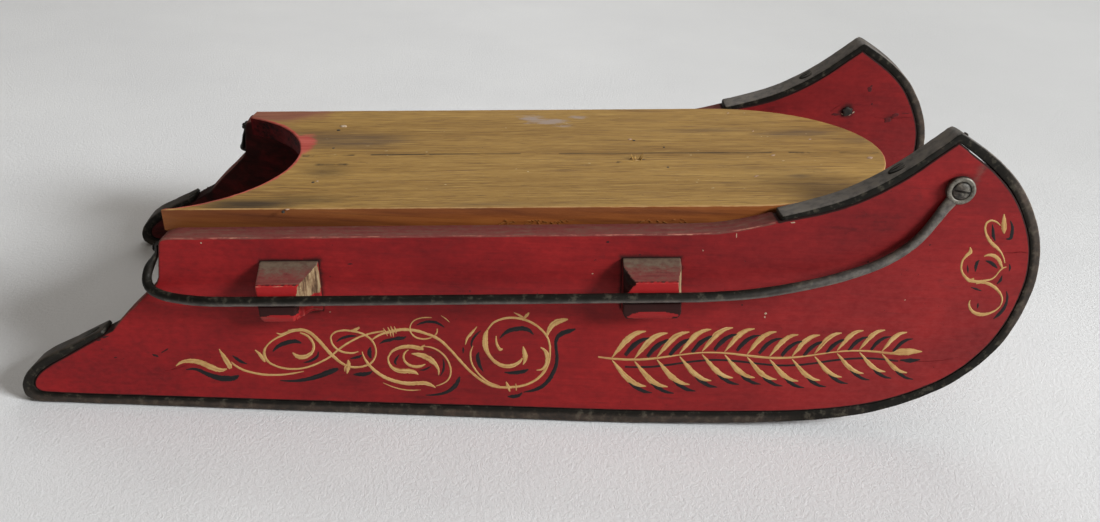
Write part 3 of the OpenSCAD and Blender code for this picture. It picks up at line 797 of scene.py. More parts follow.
def cloth(name):
    M = Mat(name)
    o = M.obj
    a = M.noise(o, 3.0, 4, 0.55)
    b = M.noise(o, 260, 4, 0.7)
    d = M.noise(o, 900, 3, 0.7)
    c = M.ramp(a, [(0.3, (0.765, 0.765, 0.775)), (0.7, (0.83, 0.83, 0.835))])
    c = M.mix(M.span(b, 0.35, 0.7, 0.0, 0.10), c, (0.68, 0.68, 0.69))
    # painted shade: the cloth greyer towards the back, most of all on the right, where the key light falls brightest
    s = M.split(o)
    far = M.math("MULTIPLY", M.span(s[0], -0.1, 0.75, 0.0, 0.42), M.span(s[1], -0.05, 0.6))
    c = M.mix(M.math("ADD", far, M.span(s[1], 0.1, 1.0, 0.0, 0.1)), c, (0.55, 0.55, 0.545))
    M.set(M.b.inputs["Base Color"], c)
    M.b.inputs["Specular IOR Level"].default_value = 0.15
    M.set(M.b.inputs["Roughness"], M.span(b, 0.3, 0.7, 0.88, 1.0))
    M.set(M.b.inputs["Normal"], M.bump(M.math("ADD", b, M.math("MULTIPLY", d, 0.7)), 0.55, 0.0016))
    return M.m

RED = red_paint("red_paint")
PINE = pine("pine_board")
IRON = iron("dark_iron")
CREAM = brush_paint("cream_paint", [(0.32, lin(146, 98, 60)), (0.46, lin(180, 139, 86)), (0.58, lin(196, 161, 106)), (0.72, lin(208, 181, 132))], lin(146, 62, 48))
BLACK = brush_paint("black_paint", [(0.32, lin(20, 20, 20)), (0.5, lin(32, 30, 31)), (0.7, lin(46, 41, 41))], lin(84, 24, 26))
FLECK = brush_paint("pale_fleck", [(0.32, lin(150, 128, 108)), (0.5, lin(184, 162, 138)), (0.7, lin(206, 190, 168))], lin(148, 96, 78))
SMUDGE = brush_paint("dull_smudge", [(0.32, lin(56, 25, 26)), (0.5, lin(70, 28, 29)), (0.7, lin(88, 31, 33))], lin(104, 31, 33))
CLOTH = cloth("pale_cloth")

# ================================================================ runners
def runner_outline():
    ia, ib = smooth(SHOE[:, 2:], 4), smooth(SWEEP[:, 2:], 4)
    tp, rr = smooth(TOP, 4)[1:], smooth(REAR, 4)
    parts = [(inset_line(ia, 0.15), 0), ((TIP_IN + (0, -0.22))[None], 0), (inset_line(ib, 0.15), 0),
             (tp, 1), (np.array([(135.0, 156.75), (132.0, 156.0), (129.9, 154.2), (129.0, 151.2)]), 2), (rr, 2)]
    p = np.concatenate([a for a, _ in parts])
    kind = np.concatenate([np.full(len(a), b) for a, b in parts])
    kind[np.where(kind == 1)[0][-1]] = 1
    keep = tidy(p)
    p, kind = p[keep], kind[keep]
    q, src = resample(p, 5.0)
    return q, kind[src]

def crack(p, hw, dep, n=7, wob=0.35, seed=0.0):
    """A groove along a line of view points already turned into plane places."""
    line = smooth(np.asarray(p, float), n)
    t = unit(tangents(line))
    nrm = np.stack([-t[:, 1], t[:, 0]], -1)
    k = np.array([nz(i * 0.63 + seed, seed) for i in range(len(line))])
    line = line + nrm * (k * wob)[:, None]
    e = np.sin(np.linspace(0, math.pi, len(line))) ** 0.5
    e = e * (0.75 + 0.5 * np.array([nz(i * 0.9 + seed, 3.1 + seed) for i in range(len(line))]))
    e = np.maximum(e, 0.06)
    return line, hw * e, dep * e

def rect(x0, x1, y0, y1, step=4.0):
    p, _ = resample(np.array([(x0, y0), (x1, y0), (x1, y1), (x0, y1)], float), step)
    return p

def deck_in_runner(u, v, k=0):
    """A place on the deck's side plane, at depth v, as (x, s) where it crosses the runner's outer face."""
    x = TOP_REAR[0] + u * CR - v * SR
    z = DECK_Z + u * SR + v * CR
    return x, (z - FOOT) / CS

def build_runner(k):
    side = "left" if k else "right"
    outer, kind = runner_outline()
    # the bar has sprung a little off the wood behind the tip
    gap = np.zeros(len(outer))
    if k == 0:
        a, b = on_runner([(961, 146)])[0], on_runner([(1001, 178)])[0]
        for i, q in enumerate(outer):
            f = (q - a) @ (b - a) / ((b - a) @ (b - a))
            if kind[i] == 0 and -0.1 < f < 1.6 and q[1] > 190 and q[0] > 765:
                gap[i] = 0.75 * max(0.0, math.sin(math.pi * min(1, max(0, (f + 0.1) / 1.7)))) ** 0.45
    outer = ring_in(outer, gap)
    r0 = np.where(kind == 0, 1.5, np.where(kind == 1, 1.5, 1.7))
    wobble = np.array([nz(i * 0.35, 5.2 + k) for i in range(len(outer))])
    rf = r0 * (1 + 0.35 * wobble) + 0.5 * np.maximum(0, np.array([nz(i * 0.9, 8.1 + k) for i in range(len(outer))]) - 0.25)
    rb = r0 * (1 + 0.25 * wobble) * 0.9
    holes = []
    for name, bx in BEAMS:
        u = (bx - TOP_REAR[0]) / CR
        h = [deck_in_runner(u + a, v) for a, v in ((-23.7, -64.2), (23.7, -64.2), (23.7, -19.3), (-23.7, -19.3))]
        holes.append(resample(np.array(h), 4.0)[0])
    ex, es = EYE[k]
    holes.append(np.array([(ex + 3.2 * math.cos(a), es + 3.2 * math.sin(a)) for a in np.linspace(0, 2 * math.pi, 24, False)]))
    cr = []
    if k == 0:
        cr.append(crack(on_runner([(1003, 252.5), (1012, 253), (1021, 252), (1029, 253.5)]), 0.45, 1.6, 6, 0.25, 1.3))
        cr.append(crack(on_runner([(882, 359.5), (900, 361), (922, 361.5), (940, 360.5), (960, 357)]), 0.35, 1.2, 6, 0.3, 2.7))
        cr.append(crack(on_runner([(160, 372), (176, 368.5), (190, 363.5)]), 0.25, 0.6, 6, 0.3, 4.4))
    back = []
    if k == 1:
        back.append(crack(on_runner([(872, 117.5), (886, 118.3), (901, 118), (915, 117)], -PLANK, 1), 0.3, 1.0, 6, 0.3, 3.3))
        back.append(crack(on_runner([(830, 112), (836, 107.5), (841, 104.5)], -PLANK, 1), 0.3, 0.9, 6, 0.3, 6.3))
    b = plank(outer, holes, PLANK, rf, rb, 5.0, None, cr, back)
    v, lay, src = b["v"], b["layer"], b["src"]
    kd = kind[src]
    dist, _ = near(v[:, :2], outer)
    # the tops are planed level for the deck, not square to the leaning plank
    v[:, 1] += np.where((kd == 1) & (v[:, 1] > 150), 1.6 * (-v[:, 2] / PLANK) * np.clip(1 - dist / 7, 0, 1) * (lay >= 1), 0)
    wear = np.where(kd == 0, 0.0, np.exp(-dist / 1.8)) * np.where((lay == 1) | (lay == 3), 1.0, np.where(lay == 2, 0.45, 0.75))
    wear = np.where(kd == 2, wear * 0.8, wear)
    # dirt and painted shade in the groove where the wood meets the bar
    grime_and_shade = np.where(kd == 0, np.where((lay >= 1) & (lay <= 3), 1.0, np.exp(-np.maximum(0, dist - 1.0) / 0.7)), 0.0)
    holep = np.concatenate(holes[:2])
    hd, _ = near(v[:, :2], holep)
    grime_and_shade = np.maximum(grime_and_shade, 0.75 * np.exp(-hd / 1.7))
    ed = np.hypot(v[:, 0] - ex, v[:, 1] - es)
    grime_and_shade = np.maximum(grime_and_shade, 0.6 * np.exp(-np.maximum(0, ed - 11) / 4.0) * (lay == 0))
    grime_and_shade = np.maximum(grime_and_shade, 0.8 * np.exp(-np.maximum(0, ed - 4.5) / 4.5) * (lay == 4))
    # painted shade: the inner face darker under the deck and towards the heel, where the deck and beams keep the light
    # off
    grime_and_shade = np.maximum(grime_and_shade, 0.7 * np.clip((340 - v[:, 0]) / 120, 0, 1) * (lay >= 3))
    # dirt caught behind the heel end of the bar
    hd = np.hypot(v[:, 0] - SHOE[0, 2], v[:, 1] - SHOE[0, 3])
    grime_and_shade = np.maximum(grime_and_shade, 0.95 * np.exp(-np.maximum(0, hd - 9) / 7.0) * (lay >= 1) * (kd == 2))
    bare = np.where((lay == 2) & (kd == 1), 1.0, np.where((lay == 2) & (kd == 2), 0.75, 0.0))
    bare = np.where(((lay == 1) | (lay == 3)) & (kd >= 1), 0.55, bare)
    deep = (v[:, 2] < -0.2) & (lay == 0)
    grime_and_shade = np.where(deep, 1.0, grime_and_shade)
    grime_and_shade = np.where((lay == 4) & (v[:, 2] > -PLANK + 0.2), 1.0, grime_and_shade)
    raw = np.zeros(len(v))
    # rubbed places: the scar above the eye, scuffs on the far side's inner face
    if k == 0:
        a, c = on_runner([(972, 186)])[0], on_runner([(985, 165)])[0]
        f = np.clip(((v[:, :2] - a) @ (c - a)) / ((c - a) @ (c - a)), 0, 1)
        d = np.linalg.norm(v[:, :2] - (a + f[:, None] * (c - a)), axis=1)
        bare = np.maximum(bare, (lay == 0) * 0.5 * np.exp(-(d / 5.5) ** 2))
        c = on_runner([(985, 168)])[0]
        d = np.linalg.norm((v[:, :2] - c) * (1, 0.6), axis=1)
        grime_and_shade = np.maximum(grime_and_shade, (lay == 0) * 0.55 * np.exp(-(d / 2.5) ** 2))
    else:
        a, c = on_runner([(885, 120)], -PLANK, 1)[0], on_runner([(899, 113)], -PLANK, 1)[0]
        f = np.clip(((v[:, :2] - a) @ (c - a)) / ((c - a) @ (c - a)), 0, 1)
        d = np.linalg.norm(v[:, :2] - (a + f[:, None] * (c - a)), axis=1)
        grime_and_shade = np.maximum(grime_and_shade, (lay == 4) * 0.78 * np.exp(-(d / 4.0) ** 2))
        c = on_runner([(869.6, 89.5)], -PLANK, 1)[0]
        d = np.linalg.norm(v[:, :2] - c, axis=1)
        grime_and_shade = np.maximum(grime_and_shade, (lay == 4) * 0.75 * np.exp(-(d / 3.6) ** 2))
        c = on_runner([(833, 115)], -PLANK, 1)[0]
        d = np.linalg.norm((v[:, :2] - c) * (0.5, 1), axis=1)
        grime_and_shade = np.maximum(grime_and_shade, (lay == 4) * 0.6 * np.exp(-(d / 4.0) ** 2))
    w = rs(v[:, 0], v[:, 1], v[:, 2], k)
    f = [q[::-1] for q in b["f"]] if k else b["f"]
    piece(side + "_runner_board", w, f, RED, dict(wear=wear, grime_and_shade=grime_and_shade, bare=bare, raw=raw), 42,
          side + "_runner", "red_painted_wood")
    # small chips down to pale wood, and a few dark dents
    def nicks(label, spots, at, mt):
        bag = Bag()
        for i, (px, rx, ry, turn) in enumerate(spots):
            vv, ff = fleck(rx, ry, i * 2.3 + k, 0.12)
            pos, out = at(px)
            bag.add(placed(vv, pos, out, turn), ff, dict(thin=0.62 if mt is FLECK else 0.72))
        o = bag.make(side + label, mt, angle=60, slot="red_painted_wood")
        o.data.uv_layers.new(name="along")
    outward = rs(0, 0, 10, k) - rs(0, 0, 0, k)
    on_face = lambda px: (rs(*on_runner([px])[0], 0.0, k), outward)
    nicks("_chips", [((736.6, 235.5), 0.5, 1.9, 0.1), ((765.7, 313.5), 1.0, 1.2, 0.4), ((764.8, 317), 0.6, 1.2, 0.2), ((592.5, 273.7), 0.9, 0.5, 0.2), ((201, 243), 0.8, 0.6, 0),
                     ((793, 222.5), 1.9, 0.6, 0.15), ((700, 381), 0.8, 0.4, 0), ((905, 300), 0.6, 0.5, 0.5), ((330, 312), 0.7, 0.4, 0), ((703, 250.5), 0.4, 0.7, 0)], on_face, FLECK)
    nicks("_dents", [((608, 242), 1.6, 0.8, 0), ((155.5, 355.5), 2.6, 1.4, -0.3), ((165, 350.5), 4.5, 0.7, 0.62), ((115.5, 357.5), 1.6, 0.7, 0.2), ((540, 300), 0.8, 0.6, 0),
                     ((868, 262), 1.1, 0.7, 0.2), ((742, 305), 0.8, 0.7, 0), ((470, 291), 0.9, 0.6, 0.1), ((930, 245), 0.8, 0.6, 0), ((640, 254.6), 1.0, 0.5, 0), ((350, 264), 2.2, 0.6, 0.1),
                     ((105, 337), 3.4, 0.8, 0.35), ((99, 340), 2.4, 0.7, 0.5)], on_face, BLACK)
    if k == 1:   # splintered round the clinched end of the bolt
        on_back = lambda px: (rs(*on_runner([px], -PLANK, 1)[0], -PLANK, 1), -outward)
        nicks("_splinters", [((853.3, 112.5), 1.9, 0.7, 0.9), ((848, 115), 2.8, 0.55, 0.15), ((842, 114), 1.3, 0.5, -0.4)], on_back, FLECK)
        nicks("_smudges", [((869.6, 89.3), 3.0, 3.4, 0.4), ((871.5, 86), 1.2, 1.2, 0), ((887.5, 120.5), 4.2, 2.8, 0.5), ((895, 115.5), 4.8, 2.2, 0.45), ((872, 104), 1.2, 1.2, 0),
                           ((836, 114.4), 5.0, 1.6, 0.1), ((845, 109), 3.0, 2.4, 0.1), ((906, 113.5), 5.0, 0.5, 0.05)], on_back, SMUDGE)

# ================================================================ shoes
def build_shoe(k):
    side = "left" if k else "right"
    a, s = smooth(SHOE[:, :2], 5), smooth(SWEEP[:, :2], 5)
    ai, si = smooth(SHOE[:, 2:], 5), smooth(SWEEP[:, 2:], 5)
    a[:, 1] = np.maximum(a[:, 1], 0)
    tin = np.array([TIP_IN * 0.5 + ai[-1] * 0.5, TIP_IN, TIP_IN * 0.45 + si[0] * 0.55])
    O = np.concatenate([a, TIP_OUT, s])
    I = np.concatenate([ai, tin, si])
    # split the long straight run
    o2, i2 = [], []
    for j in range(len(O) - 1):
        n = max(1, int(math.ceil(np.linalg.norm(O[j + 1] - O[j]) / 5)))
        for q in range(n):
            o2.append(O[j] + (O[j + 1] - O[j]) * q / n); i2.append(I[j] + (I[j + 1] - I[j]) * q / n)
    O, I = np.array(o2 + [O[-1]]), np.array(i2 + [I[-1]])
    if k:   # the left bar's heel end stops 12 mm short of the right one's
        ln = np.concatenate([[0], np.cumsum(np.linalg.norm(np.diff(O, axis=0), axis=1))])
        j = int(np.searchsorted(ln, 12.0))
        t = (12.0 - ln[j - 1]) / (ln[j] - ln[j - 1])
        O = np.concatenate([[O[j - 1] + (O[j] - O[j - 1]) * t], O[j:]])
        I = np.concatenate([[I[j - 1] + (I[j] - I[j - 1]) * t], I[j:]])
    n = len(O)
    wob = np.array([nz(j * 0.21, 2.0 + 3 * k) for j in range(n)])
    fine = np.array([nz(j * 0.7, 6.0 + 3 * k) for j in range(n)])
    d = unit(O - I)
    flat = (O[:, 1] < 1.0)
    O = O - d * np.where(flat, 0.0, np.maximum(0, 0.35 * wob + 0.2 * fine + 0.1))[:, None]
    W0 = 0.0 + 0.35 * np.array([nz(j * 0.17, 9.0 + k) for j in range(n)])   # outer flank, in or out
    W1 = -PLANK - 0.3 * np.array([nz(j * 0.19, 4.0 + k) for j in range(n)])
    W0 = np.minimum(W0, 0.35)
    ro, ri = 1.5, 0.7
    # (side of the bar: 0 outer .. 1 inner, in-plane inset, flank, flank inset, is edge)
    prof = [(0, ro * (1 - math.sin(g)), 0, ro * (1 - math.cos(g)), 1.0) for g in np.linspace(0, math.pi / 2, 5)]
    prof += [(0, 0.0, 0, 5.5, 0.25), (0, 0.0, 0, PLANK / 2, 0.1), (0, 0.0, 1, 5.5, 0.25)]
    prof += [(0, ro * (1 - math.cos(g)), 1, ro * (1 - math.sin(g)), 1.0) for g in np.linspace(0, math.pi / 2, 5)]
    prof += [(2, 0.5, 1, 0.0, 0.15)]
    prof += [(1, ri * (1 - math.sin(g)), 1, ri * (1 - math.cos(g)), 0.0) for g in np.linspace(0, math.pi / 2, 3)]
    prof += [(1, 0.0, 0, PLANK / 2, 0.0)]
    prof += [(1, ri * (1 - math.cos(g)), 0, ri * (1 - math.sin(g)), 0.0) for g in np.linspace(0, math.pi / 2, 3)]
    prof += [(2, 0.5, 0, 0.0, 0.15)]
    th = np.linalg.norm(O - I, axis=1)
    m = len(prof)
    V, wear, grime_and_shade, dust_and_highlight, brown = [], [], [], [], []
    front = np.clip((O[:, 0] - 770) / 50, 0, 1) * np.clip((O[:, 1] - 60) / 60, 0, 1)
    under = np.clip((14 - O[:, 1]) / 10, 0, 1)
    heel = np.clip((95 - O[:, 0]) / 12, 0, 1)
    for j in range(n):
        for face, ins, fl, fin, e in prof:
            lim = min(1.0, th[j] * 0.45 / ro)
            if face == 0:
                q = O[j] - d[j] * ins * lim
            elif face == 1:
                q = I[j] + d[j] * ins * min(1.0, lim)
            else:
                q = O[j] * ins + I[j] * (1 - ins)
            w = (W0[j] - fin) if fl == 0 else (W1[j] + fin)
            V.append((q[0], q[1], w))
            wear.append(e * (0.42 + 0.25 * wob[j]))
            flank = face == 2 or (face == 0 and ins > 0.6)
            grime_and_shade.append(0.9 if face == 1 else (1.05 - 0.68 * front[j] - 0.6 * under[j] - 0.4 * heel[j] * (1 - under[j]) if flank else 0.0))
            # dust lies on what faces up
            dust_and_highlight.append(0.0 if face or ins > 0.6 else (0.95 + 0.2 * fine[j]) * (1 - 0.85 * heel[j]) * (0.22 + 0.78 * min(1.0, max(0.0, 2.2 * d[j][1] - 0.4))))
            brown.append((0.95 if not flank and face == 0 else 0.4) * front[j] + (0.45 * under[j] if flank else 0.3 * heel[j]))
    V = np.array(V)
    F = []
    for j in range(n - 1):
        for c in range(m):
            p, q = j * m + c, j * m + (c + 1) % m
            F.append([p, q, q + m, p + m])
    bag = Bag()
    # ends hammered thin: the heel's end short, the sweep's end drawn out to a round nose
    for end, step in ((0, -1), (n - 1, 1)):
        sec = V[end * m:(end + 1) * m].copy()
        c = sec.mean(0)
        t = unit(O[end] - O[end - step])
        prev = end * m
        for fs, fw, push in (((0.9, 0.92, 0.8), (0.6, 0.8, 1.7)) if step < 0 else ((0.95, 0.94, 0.7), (0.84, 0.8, 1.5), (0.6, 0.5, 2.2))):
            r1 = c + (sec - c) * (fs, fs, fw) + np.array([t[0], t[1], 0]) * push - np.array([0, 1 - fs, 0]) * 1.6 * (step > 0)
            i0 = len(V)
            V = np.concatenate([V, r1]); wear += [0.2] * m; grime_and_shade += [0.6] * m; dust_and_highlight += [0.15] * m; brown += [0.0] * m
            for q in range(m):
                a0, b0 = prev + q, prev + (q + 1) % m
                a1, b1 = i0 + q, i0 + (q + 1) % m
                F.append([a0, b0, b1, a1] if step > 0 else [b0, a0, a1, b1])
            prev = i0
        F.append(list(range(prev, prev + m))[::-1] if step < 0 else list(range(prev, prev + m)))
    bag.add(rs(V[:, 0], V[:, 1], V[:, 2], k), F,
            dict(wear=np.array(wear), grime_and_shade=np.array(grime_and_shade), dust_and_highlight=np.array(dust_and_highlight), brown=np.array(brown)), 0, flip=not k)
    # slotted screws let into the bar
    MW = -PLANK / 2
    spots = [("s", 898, 165.5, 0.35) if k == 0 else ("s", 810, 73, 0.35), ("h", 89, 333, 0.9),("a", 180, None, 0.2), ("a", 330, None, 1.1), ("a", 470, None, 0.5), ("a", 640, None, 0.7), ("f", 150, None, 0.3)]
    for kind, x, y, turn in spots:
        if kind == "s":
            q = on_runner([(x, y)], MW, k)[0]
            j = int(np.argmin(np.where(np.arange(n) > n - 60, np.linalg.norm(O - q, axis=1), 1e9)))
        elif kind == "h":
            q = on_runner([(x, y)], MW, 0)[0]
            j = int(np.argmin(np.where(np.arange(n) < 30, np.linalg.norm(O - q, axis=1), 1e9)))
        elif kind == "a":
            ok = (np.arange(n) < n - 80) & ((O[:, 1] > 30) if x < 80 else (O[:, 1] < 30))
            j = int(np.argmin(np.where(ok, np.abs(O[:, 0] - x), 1e9)))
        else:
            j = int(np.argmin(np.where(O[:, 0] > 800, np.abs(O[:, 1] - x), 1e9)))
        out = rs(*(O[j] + d[j] * 10), MW, k) - rs(*O[j], MW, k)
        big = kind in "sh"
        hv, hf = slotted_head(4.2 if big else 3.6, 0.22, 0.75 if big else 0.55, 0.75, 0.12, 32)
        t = unit(rs(*O[min(j + 2, n - 1)], MW, k) - rs(*O[max(j - 2, 0)], MW, k))
        hv = hv * (1.9 if big else 1.2, 1, 1)
        bag.add(placed(hv, rs(*(O[j] - d[j] * 0.05), MW, k), out, 0, t), hf, dict(wear=0.12, grime_and_shade=np.where(hv[:, 2] < 0.1, 1.0, 0.3), dust_and_highlight=0.35))
        if big:   # dirt packed round the head
            rv, rf = revolve([(0, -0.3), (4.2, 0.04), (4.9, 0.3), (5.5, 0.12), (5.7, -0.4)], 32)
            bag.add(placed(rv * (1.9, 1, 1),rs(*(O[j] - d[j] * 0.02), MW, k), out, 0, t), [q_[::-1] for q_ in rf], dict(wear=0.0, grime_and_shade=1.0))
    if k == 0:   # a tack left standing on the bar by the tip
        q = on_runner([(968, 133)], -12)[0]
        j = int(np.argmin(np.where(O[:, 1] > 240, np.linalg.norm(O - q, axis=1), 1e9)))
        hv, hf = revolve([(0, -1.5), (1.3, -1.5), (1.3, 0.1), (2.0, 0.2), (2.1, 0.8), (1.2, 1.3), (0, 1.4)], 14)
        bag.add(placed(hv, rs(*O[j], -12, k), rs(*(O[j] + d[j] * 10), -11, k) - rs(*O[j], -12, k)), hf, dict(wear=0.1, grime_and_shade=0.6))
    bag.make(side + "_shoe_bar", IRON, angle=46, replaces=side + "_shoe", slot="dark_iron")

# ================================================================ deck
U_FRONT, U_RIGHT, U_LEFT, U_NOTCH = [(x - TOP_REAR[0]) / CR for x in (748, 126, 146, 214)]
NOSE, NOTCH_R, NOTCH_OFF = 142.0, 116.0, 6.0

def build_deck():
    h, yc = DECK_W / 2, -DECK_OFF
    p, kd = [(U_RIGHT, yc - h)], [0]
    for a in np.radians(np.arange(-90, 90.1, 2.5)):
        p.append((U_FRONT - NOSE + NOSE * math.cos(a), yc + h * math.sin(a))); kd.append(1)
    p.append((U_LEFT, yc + h)); kd.append(2)
    cx, cy = U_NOTCH - NOTCH_R, yc - NOTCH_OFF
    # where the notch leaves the rear edge, on the left and on the right
    def meet(y0, y1):
        best = None
        for f in np.linspace(0, 1, 4001):
            u, y = U_LEFT + (U_RIGHT - U_LEFT) * f, yc + h - 2 * h * f
            e = abs(math.hypot(u - cx, y - cy) - NOTCH_R)
            if y0 <= y <= y1 and (best is None or e < best[0]):
                best = (e, u, y)
        return best[1:]
    l, r = meet(yc, yc + h), meet(yc - h, yc)
    al, ar = math.atan2(l[1] - cy, l[0] - cx), math.atan2(r[1] - cy, r[0] - cx)
    for a in np.linspace(al, ar, 60):
        p.append((cx + NOTCH_R * math.cos(a), cy + NOTCH_R * math.sin(a))); kd.append(3)
    p, kd = np.array(p), np.array(kd)
    keep = tidy(p, 0.5)
    p, kd = p[keep], kd[keep]
    outer, src = resample(p, 4.0)
    kind = kd[src]
    kind[(kind == 0)] = 0
    # hand-cut outline: tiny waver
    wv = np.array([nz(i * 0.13, 1.7) for i in range(len(outer))])
    outer = ring_in(outer, 0.35 * np.maximum(0, wv))
    w1 = np.array([nz(i * 0.4, 3.3) for i in range(len(outer))])
    rf = 1.25 * (1 + 0.4 * w1) + 1.3 * np.maximum(0, np.array([nz(i * 0.75, 7.9) for i in range(len(outer))]) - 0.3)
    rb = 0.9 * (1 + 0.4 * w1)
    rf = np.clip(rf, 0.5, 2.6)
    cracks = [crack(on_deck([(303.5, 155.6), (318, 155.8), (336, 155.3), (352, 155.2)]), 0.6, 2.4, 6, 0.25, 1.1),
              crack(on_deck([(319, 164.4), (331, 164.3), (345, 164.0)]), 0.4, 1.2, 6, 0.2, 2.1),
              crack(on_deck([(372, 154.6), (420, 153.9), (470, 153.6), (520, 153.3)]), 0.16, 0.45, 10, 0.3, 3.1),
              crack(on_deck([(560, 153.2), (610, 152.9), (660, 152.6), (712, 152.4)]), 0.18, 0.5, 10, 0.3, 4.1),
              crack(on_deck([(718, 152.4), (745, 152.6), (770, 152.4)]), 0.28, 0.9, 8, 0.25, 5.1),
              crack(on_deck([(790, 152.4), (815, 152.6), (850, 152.3), (878, 152.6)]), 0.42, 1.5, 8, 0.25, 6.1),
              crack(on_deck([(618, 161.5), (631, 161.0), (643, 159.2)]), 0.8, 2.0, 6, 0.2, 7.1)]
    b = plank(outer, [], DECK_T, rf, rb, 4.2, None, cracks)
    v, lay, sc = b["v"], b["layer"], b["src"]
    k = kind[sc]
    dist, _ = near(v[:, :2], outer)
    # a worn, slightly dished top
    top = lay == 0
    sag = 0.35 * fnz(v[:, :2], 0.012, 2.0) + 0.12 * fnz(v[:, :2] * (0.25, 1), 0.09, 5.0)
    v[:, 2] += np.where(top, (sag - 0.3) * np.clip(dist / 12, 0, 1), 0)
    side = np.where(lay == 2, 1.0, np.where((lay == 1) | (lay == 3), 0.55, 0.0))
    wear = np.where(lay == 1, 1.0, np.where(top, 0.8 * np.exp(-dist / 1.5), 0.2 * (lay == 3)))
    notch = (k == 3)
    pink = np.where(notch & (lay <= 1), np.minimum(1.3, 1.9 * np.exp(-dist / 2.6)), 0.0)
    wear = np.where(notch, wear * 0.3, wear)
    u, y = v[:, 0], v[:, 1]
    c = on_deck([(303, 144)])[0]
    e = np.hypot((u - c[0]) / 15, (y - c[1]) / 30)
    pink = np.maximum(pink, (lay <= 1) * 1.2 * np.exp(-e ** 1.8))
    mauve = (lay <= 1) * 1.25 * np.exp(-(np.maximum(0, yc + h - y) / 34.0) ** 2) * np.clip((on_deck([(362, 113)])[0][0] - u) / 70, 0, 1)
    apex = np.exp(-np.maximum(0, U_FRONT - u) / 14)
    pink = np.maximum(pink, np.where(lay == 1, 0.75 * apex, 0))
    redwall = np.where(notch & ((lay == 2) | (lay == 3)), 1.0, 0)
    redwall = np.maximum(redwall, np.where((k == 2) & (lay == 2), 0.9, 0))
    stain = np.clip((150 - u) / 170, 0, 1) * top * 0.75
    c2 = on_deck([(345, 140)])[0]
    stain = np.maximum(stain, top * 0.95 * np.exp(-((u - c2[0]) / 70) ** 2 - ((y - c2[1]) / 30) ** 2))
    for px, ru, ry, am in (((690, 130), 90, 10, 0.75), ((800, 133), 60, 12, 0.8), ((800, 176), 14, 6, 0.9), ((770, 170), 60, 5, 0.3),
                           ((250, 205), 60, 16, 0.7), ((470, 205), 160, 14, 0.55), ((860, 140), 30, 14, 0.6), ((640, 192), 60, 6, 0.5)):
        c3 = on_deck([px])[0]
        stain = np.maximum(stain, top * am * np.exp(-((u - c3[0]) / ru) ** 2 - ((y - c3[1]) / ry) ** 2))
    lil = np.zeros(len(v))
    for px, ru, ry, am in (((548, 121), 34, 13, 1.1), ((530, 117), 18, 10, 1.0), ((578, 117), 18, 9, 0.9), ((560, 126), 20, 7, 0.9)):
        c3 = on_deck([px])[0]
        lil = np.maximum(lil, top * am * np.exp(-((u - c3[0]) / ru) ** 2 - ((y - c3[1]) / ry) ** 2))
    grime_and_shade = np.where(top & (b["v"][:, 2] < -0.75), 1.0, 0.0) * (dist > 1.0)
    cl = np.concatenate([q[0] for q in cracks])
    cd, _ = near(v[:, :2], cl)
    grime_and_shade = np.where(top, np.maximum(grime_and_shade, 0.8 * np.exp(-(cd / 0.45) ** 2)), grime_and_shade)
    grime_and_shade = np.maximum(grime_and_shade, np.where((lay == 3) & ~notch, 0.55, 0))
    for px, ru, ry, am in (((248, 205), 60, 22, 0.8), ((325, 170), 40, 30, 0.58), ((300, 200), 70, 18, 0.6), ((340, 130), 34, 18, 0.4), ((300, 118), 40, 10, 0.4)):
        c3 = on_deck([px])[0]
        grime_and_shade = np.maximum(grime_and_shade, top * am * np.exp(-((u - c3[0]) / ru) ** 2 - ((y - c3[1]) / ry) ** 2))
    c4 = on_deck([(800, 175)])[0]
    grime_and_shade = np.maximum(grime_and_shade, top * 0.55 * np.exp(-((u - c4[0]) / 7) ** 2 - ((y - c4[1]) / 3.5) ** 2))
    bag = Bag()
    bag.add(dk(v[:, 0], v[:, 1], v[:, 2] + DECK_V), b["f"],
            dict(side=side, wear=wear, pink=pink, mauve=mauve, redwall=redwall, stain=stain, lilac=lil, grime_and_shade=grime_and_shade))
    # splinters lifted at the near lower edge and a broken knot on top
    rng = np.random.default_rng(11)
    def sliver(a, d, l, r, bend):
        n = 6
        t = np.linspace(0, 1, n)
        pts = a + d * (l * t)[:, None] + np.array(bend) * (t ** 2)[:, None]
        hv = np.column_stack([r * (1 - t * 0.92), r * 0.5 * (1 - t * 0.92)])
        vv, ff = tube(pts * MM, hv * MM, (0, 0, 1), 5)
        return vv, ff
    for i in range(40):
        px = (rng.uniform(502, 576) if i < 30 else rng.uniform(640, 690), 221)
        uu = on_deck([px], 2)[0][0]
        a = dk(uu, yc - h - 0.1, rng.uniform(0.0, 3.6)) / MM
        d = unit(np.array((rng.choice([-1, 1]) * rng.uniform(0.75, 1), -rng.uniform(0.05, 0.3), -rng.uniform(0.0, 0.5) + 0.12)))
        vv, ff = sliver(a, d, rng.uniform(2, 6), rng.uniform(0.3, 0.65), (0, -rng.uniform(0, 1.2), rng.uniform(-1.2, 0.6)))
        bag.add(vv, ff, dict(side=0.6, wear=rng.uniform(0.1, 0.7), grime_and_shade=rng.uniform(0, 0.35)))
    c = on_deck([(639, 159.3)])[0]
    for i, (du, dy, l, up) in enumerate(((0, 0, 13, 0.25), (-3, 0.8, 10, 0.45), (1.5, -1.0, 9, 0.6), (-5, -0.3, 12, 0.15), (-8, 0.4, 9, 0.1))):
        a = dk(c[0] + du, c[1] + dy, DECK_V - 0.4) / MM
        vv, ff = sliver(a, unit(np.array((-0.4 if i % 2 else 0.25, 0.25, up + 0.35))), l * 0.55, 1.1, (1.5, 0, 0.4))
        bag.add(vv, ff, dict(side=0.3, wear=0.4, grime_and_shade=0.2))
    bag.make("deck_board", PINE, angle=40, replaces="deck", slot="worn_pine")
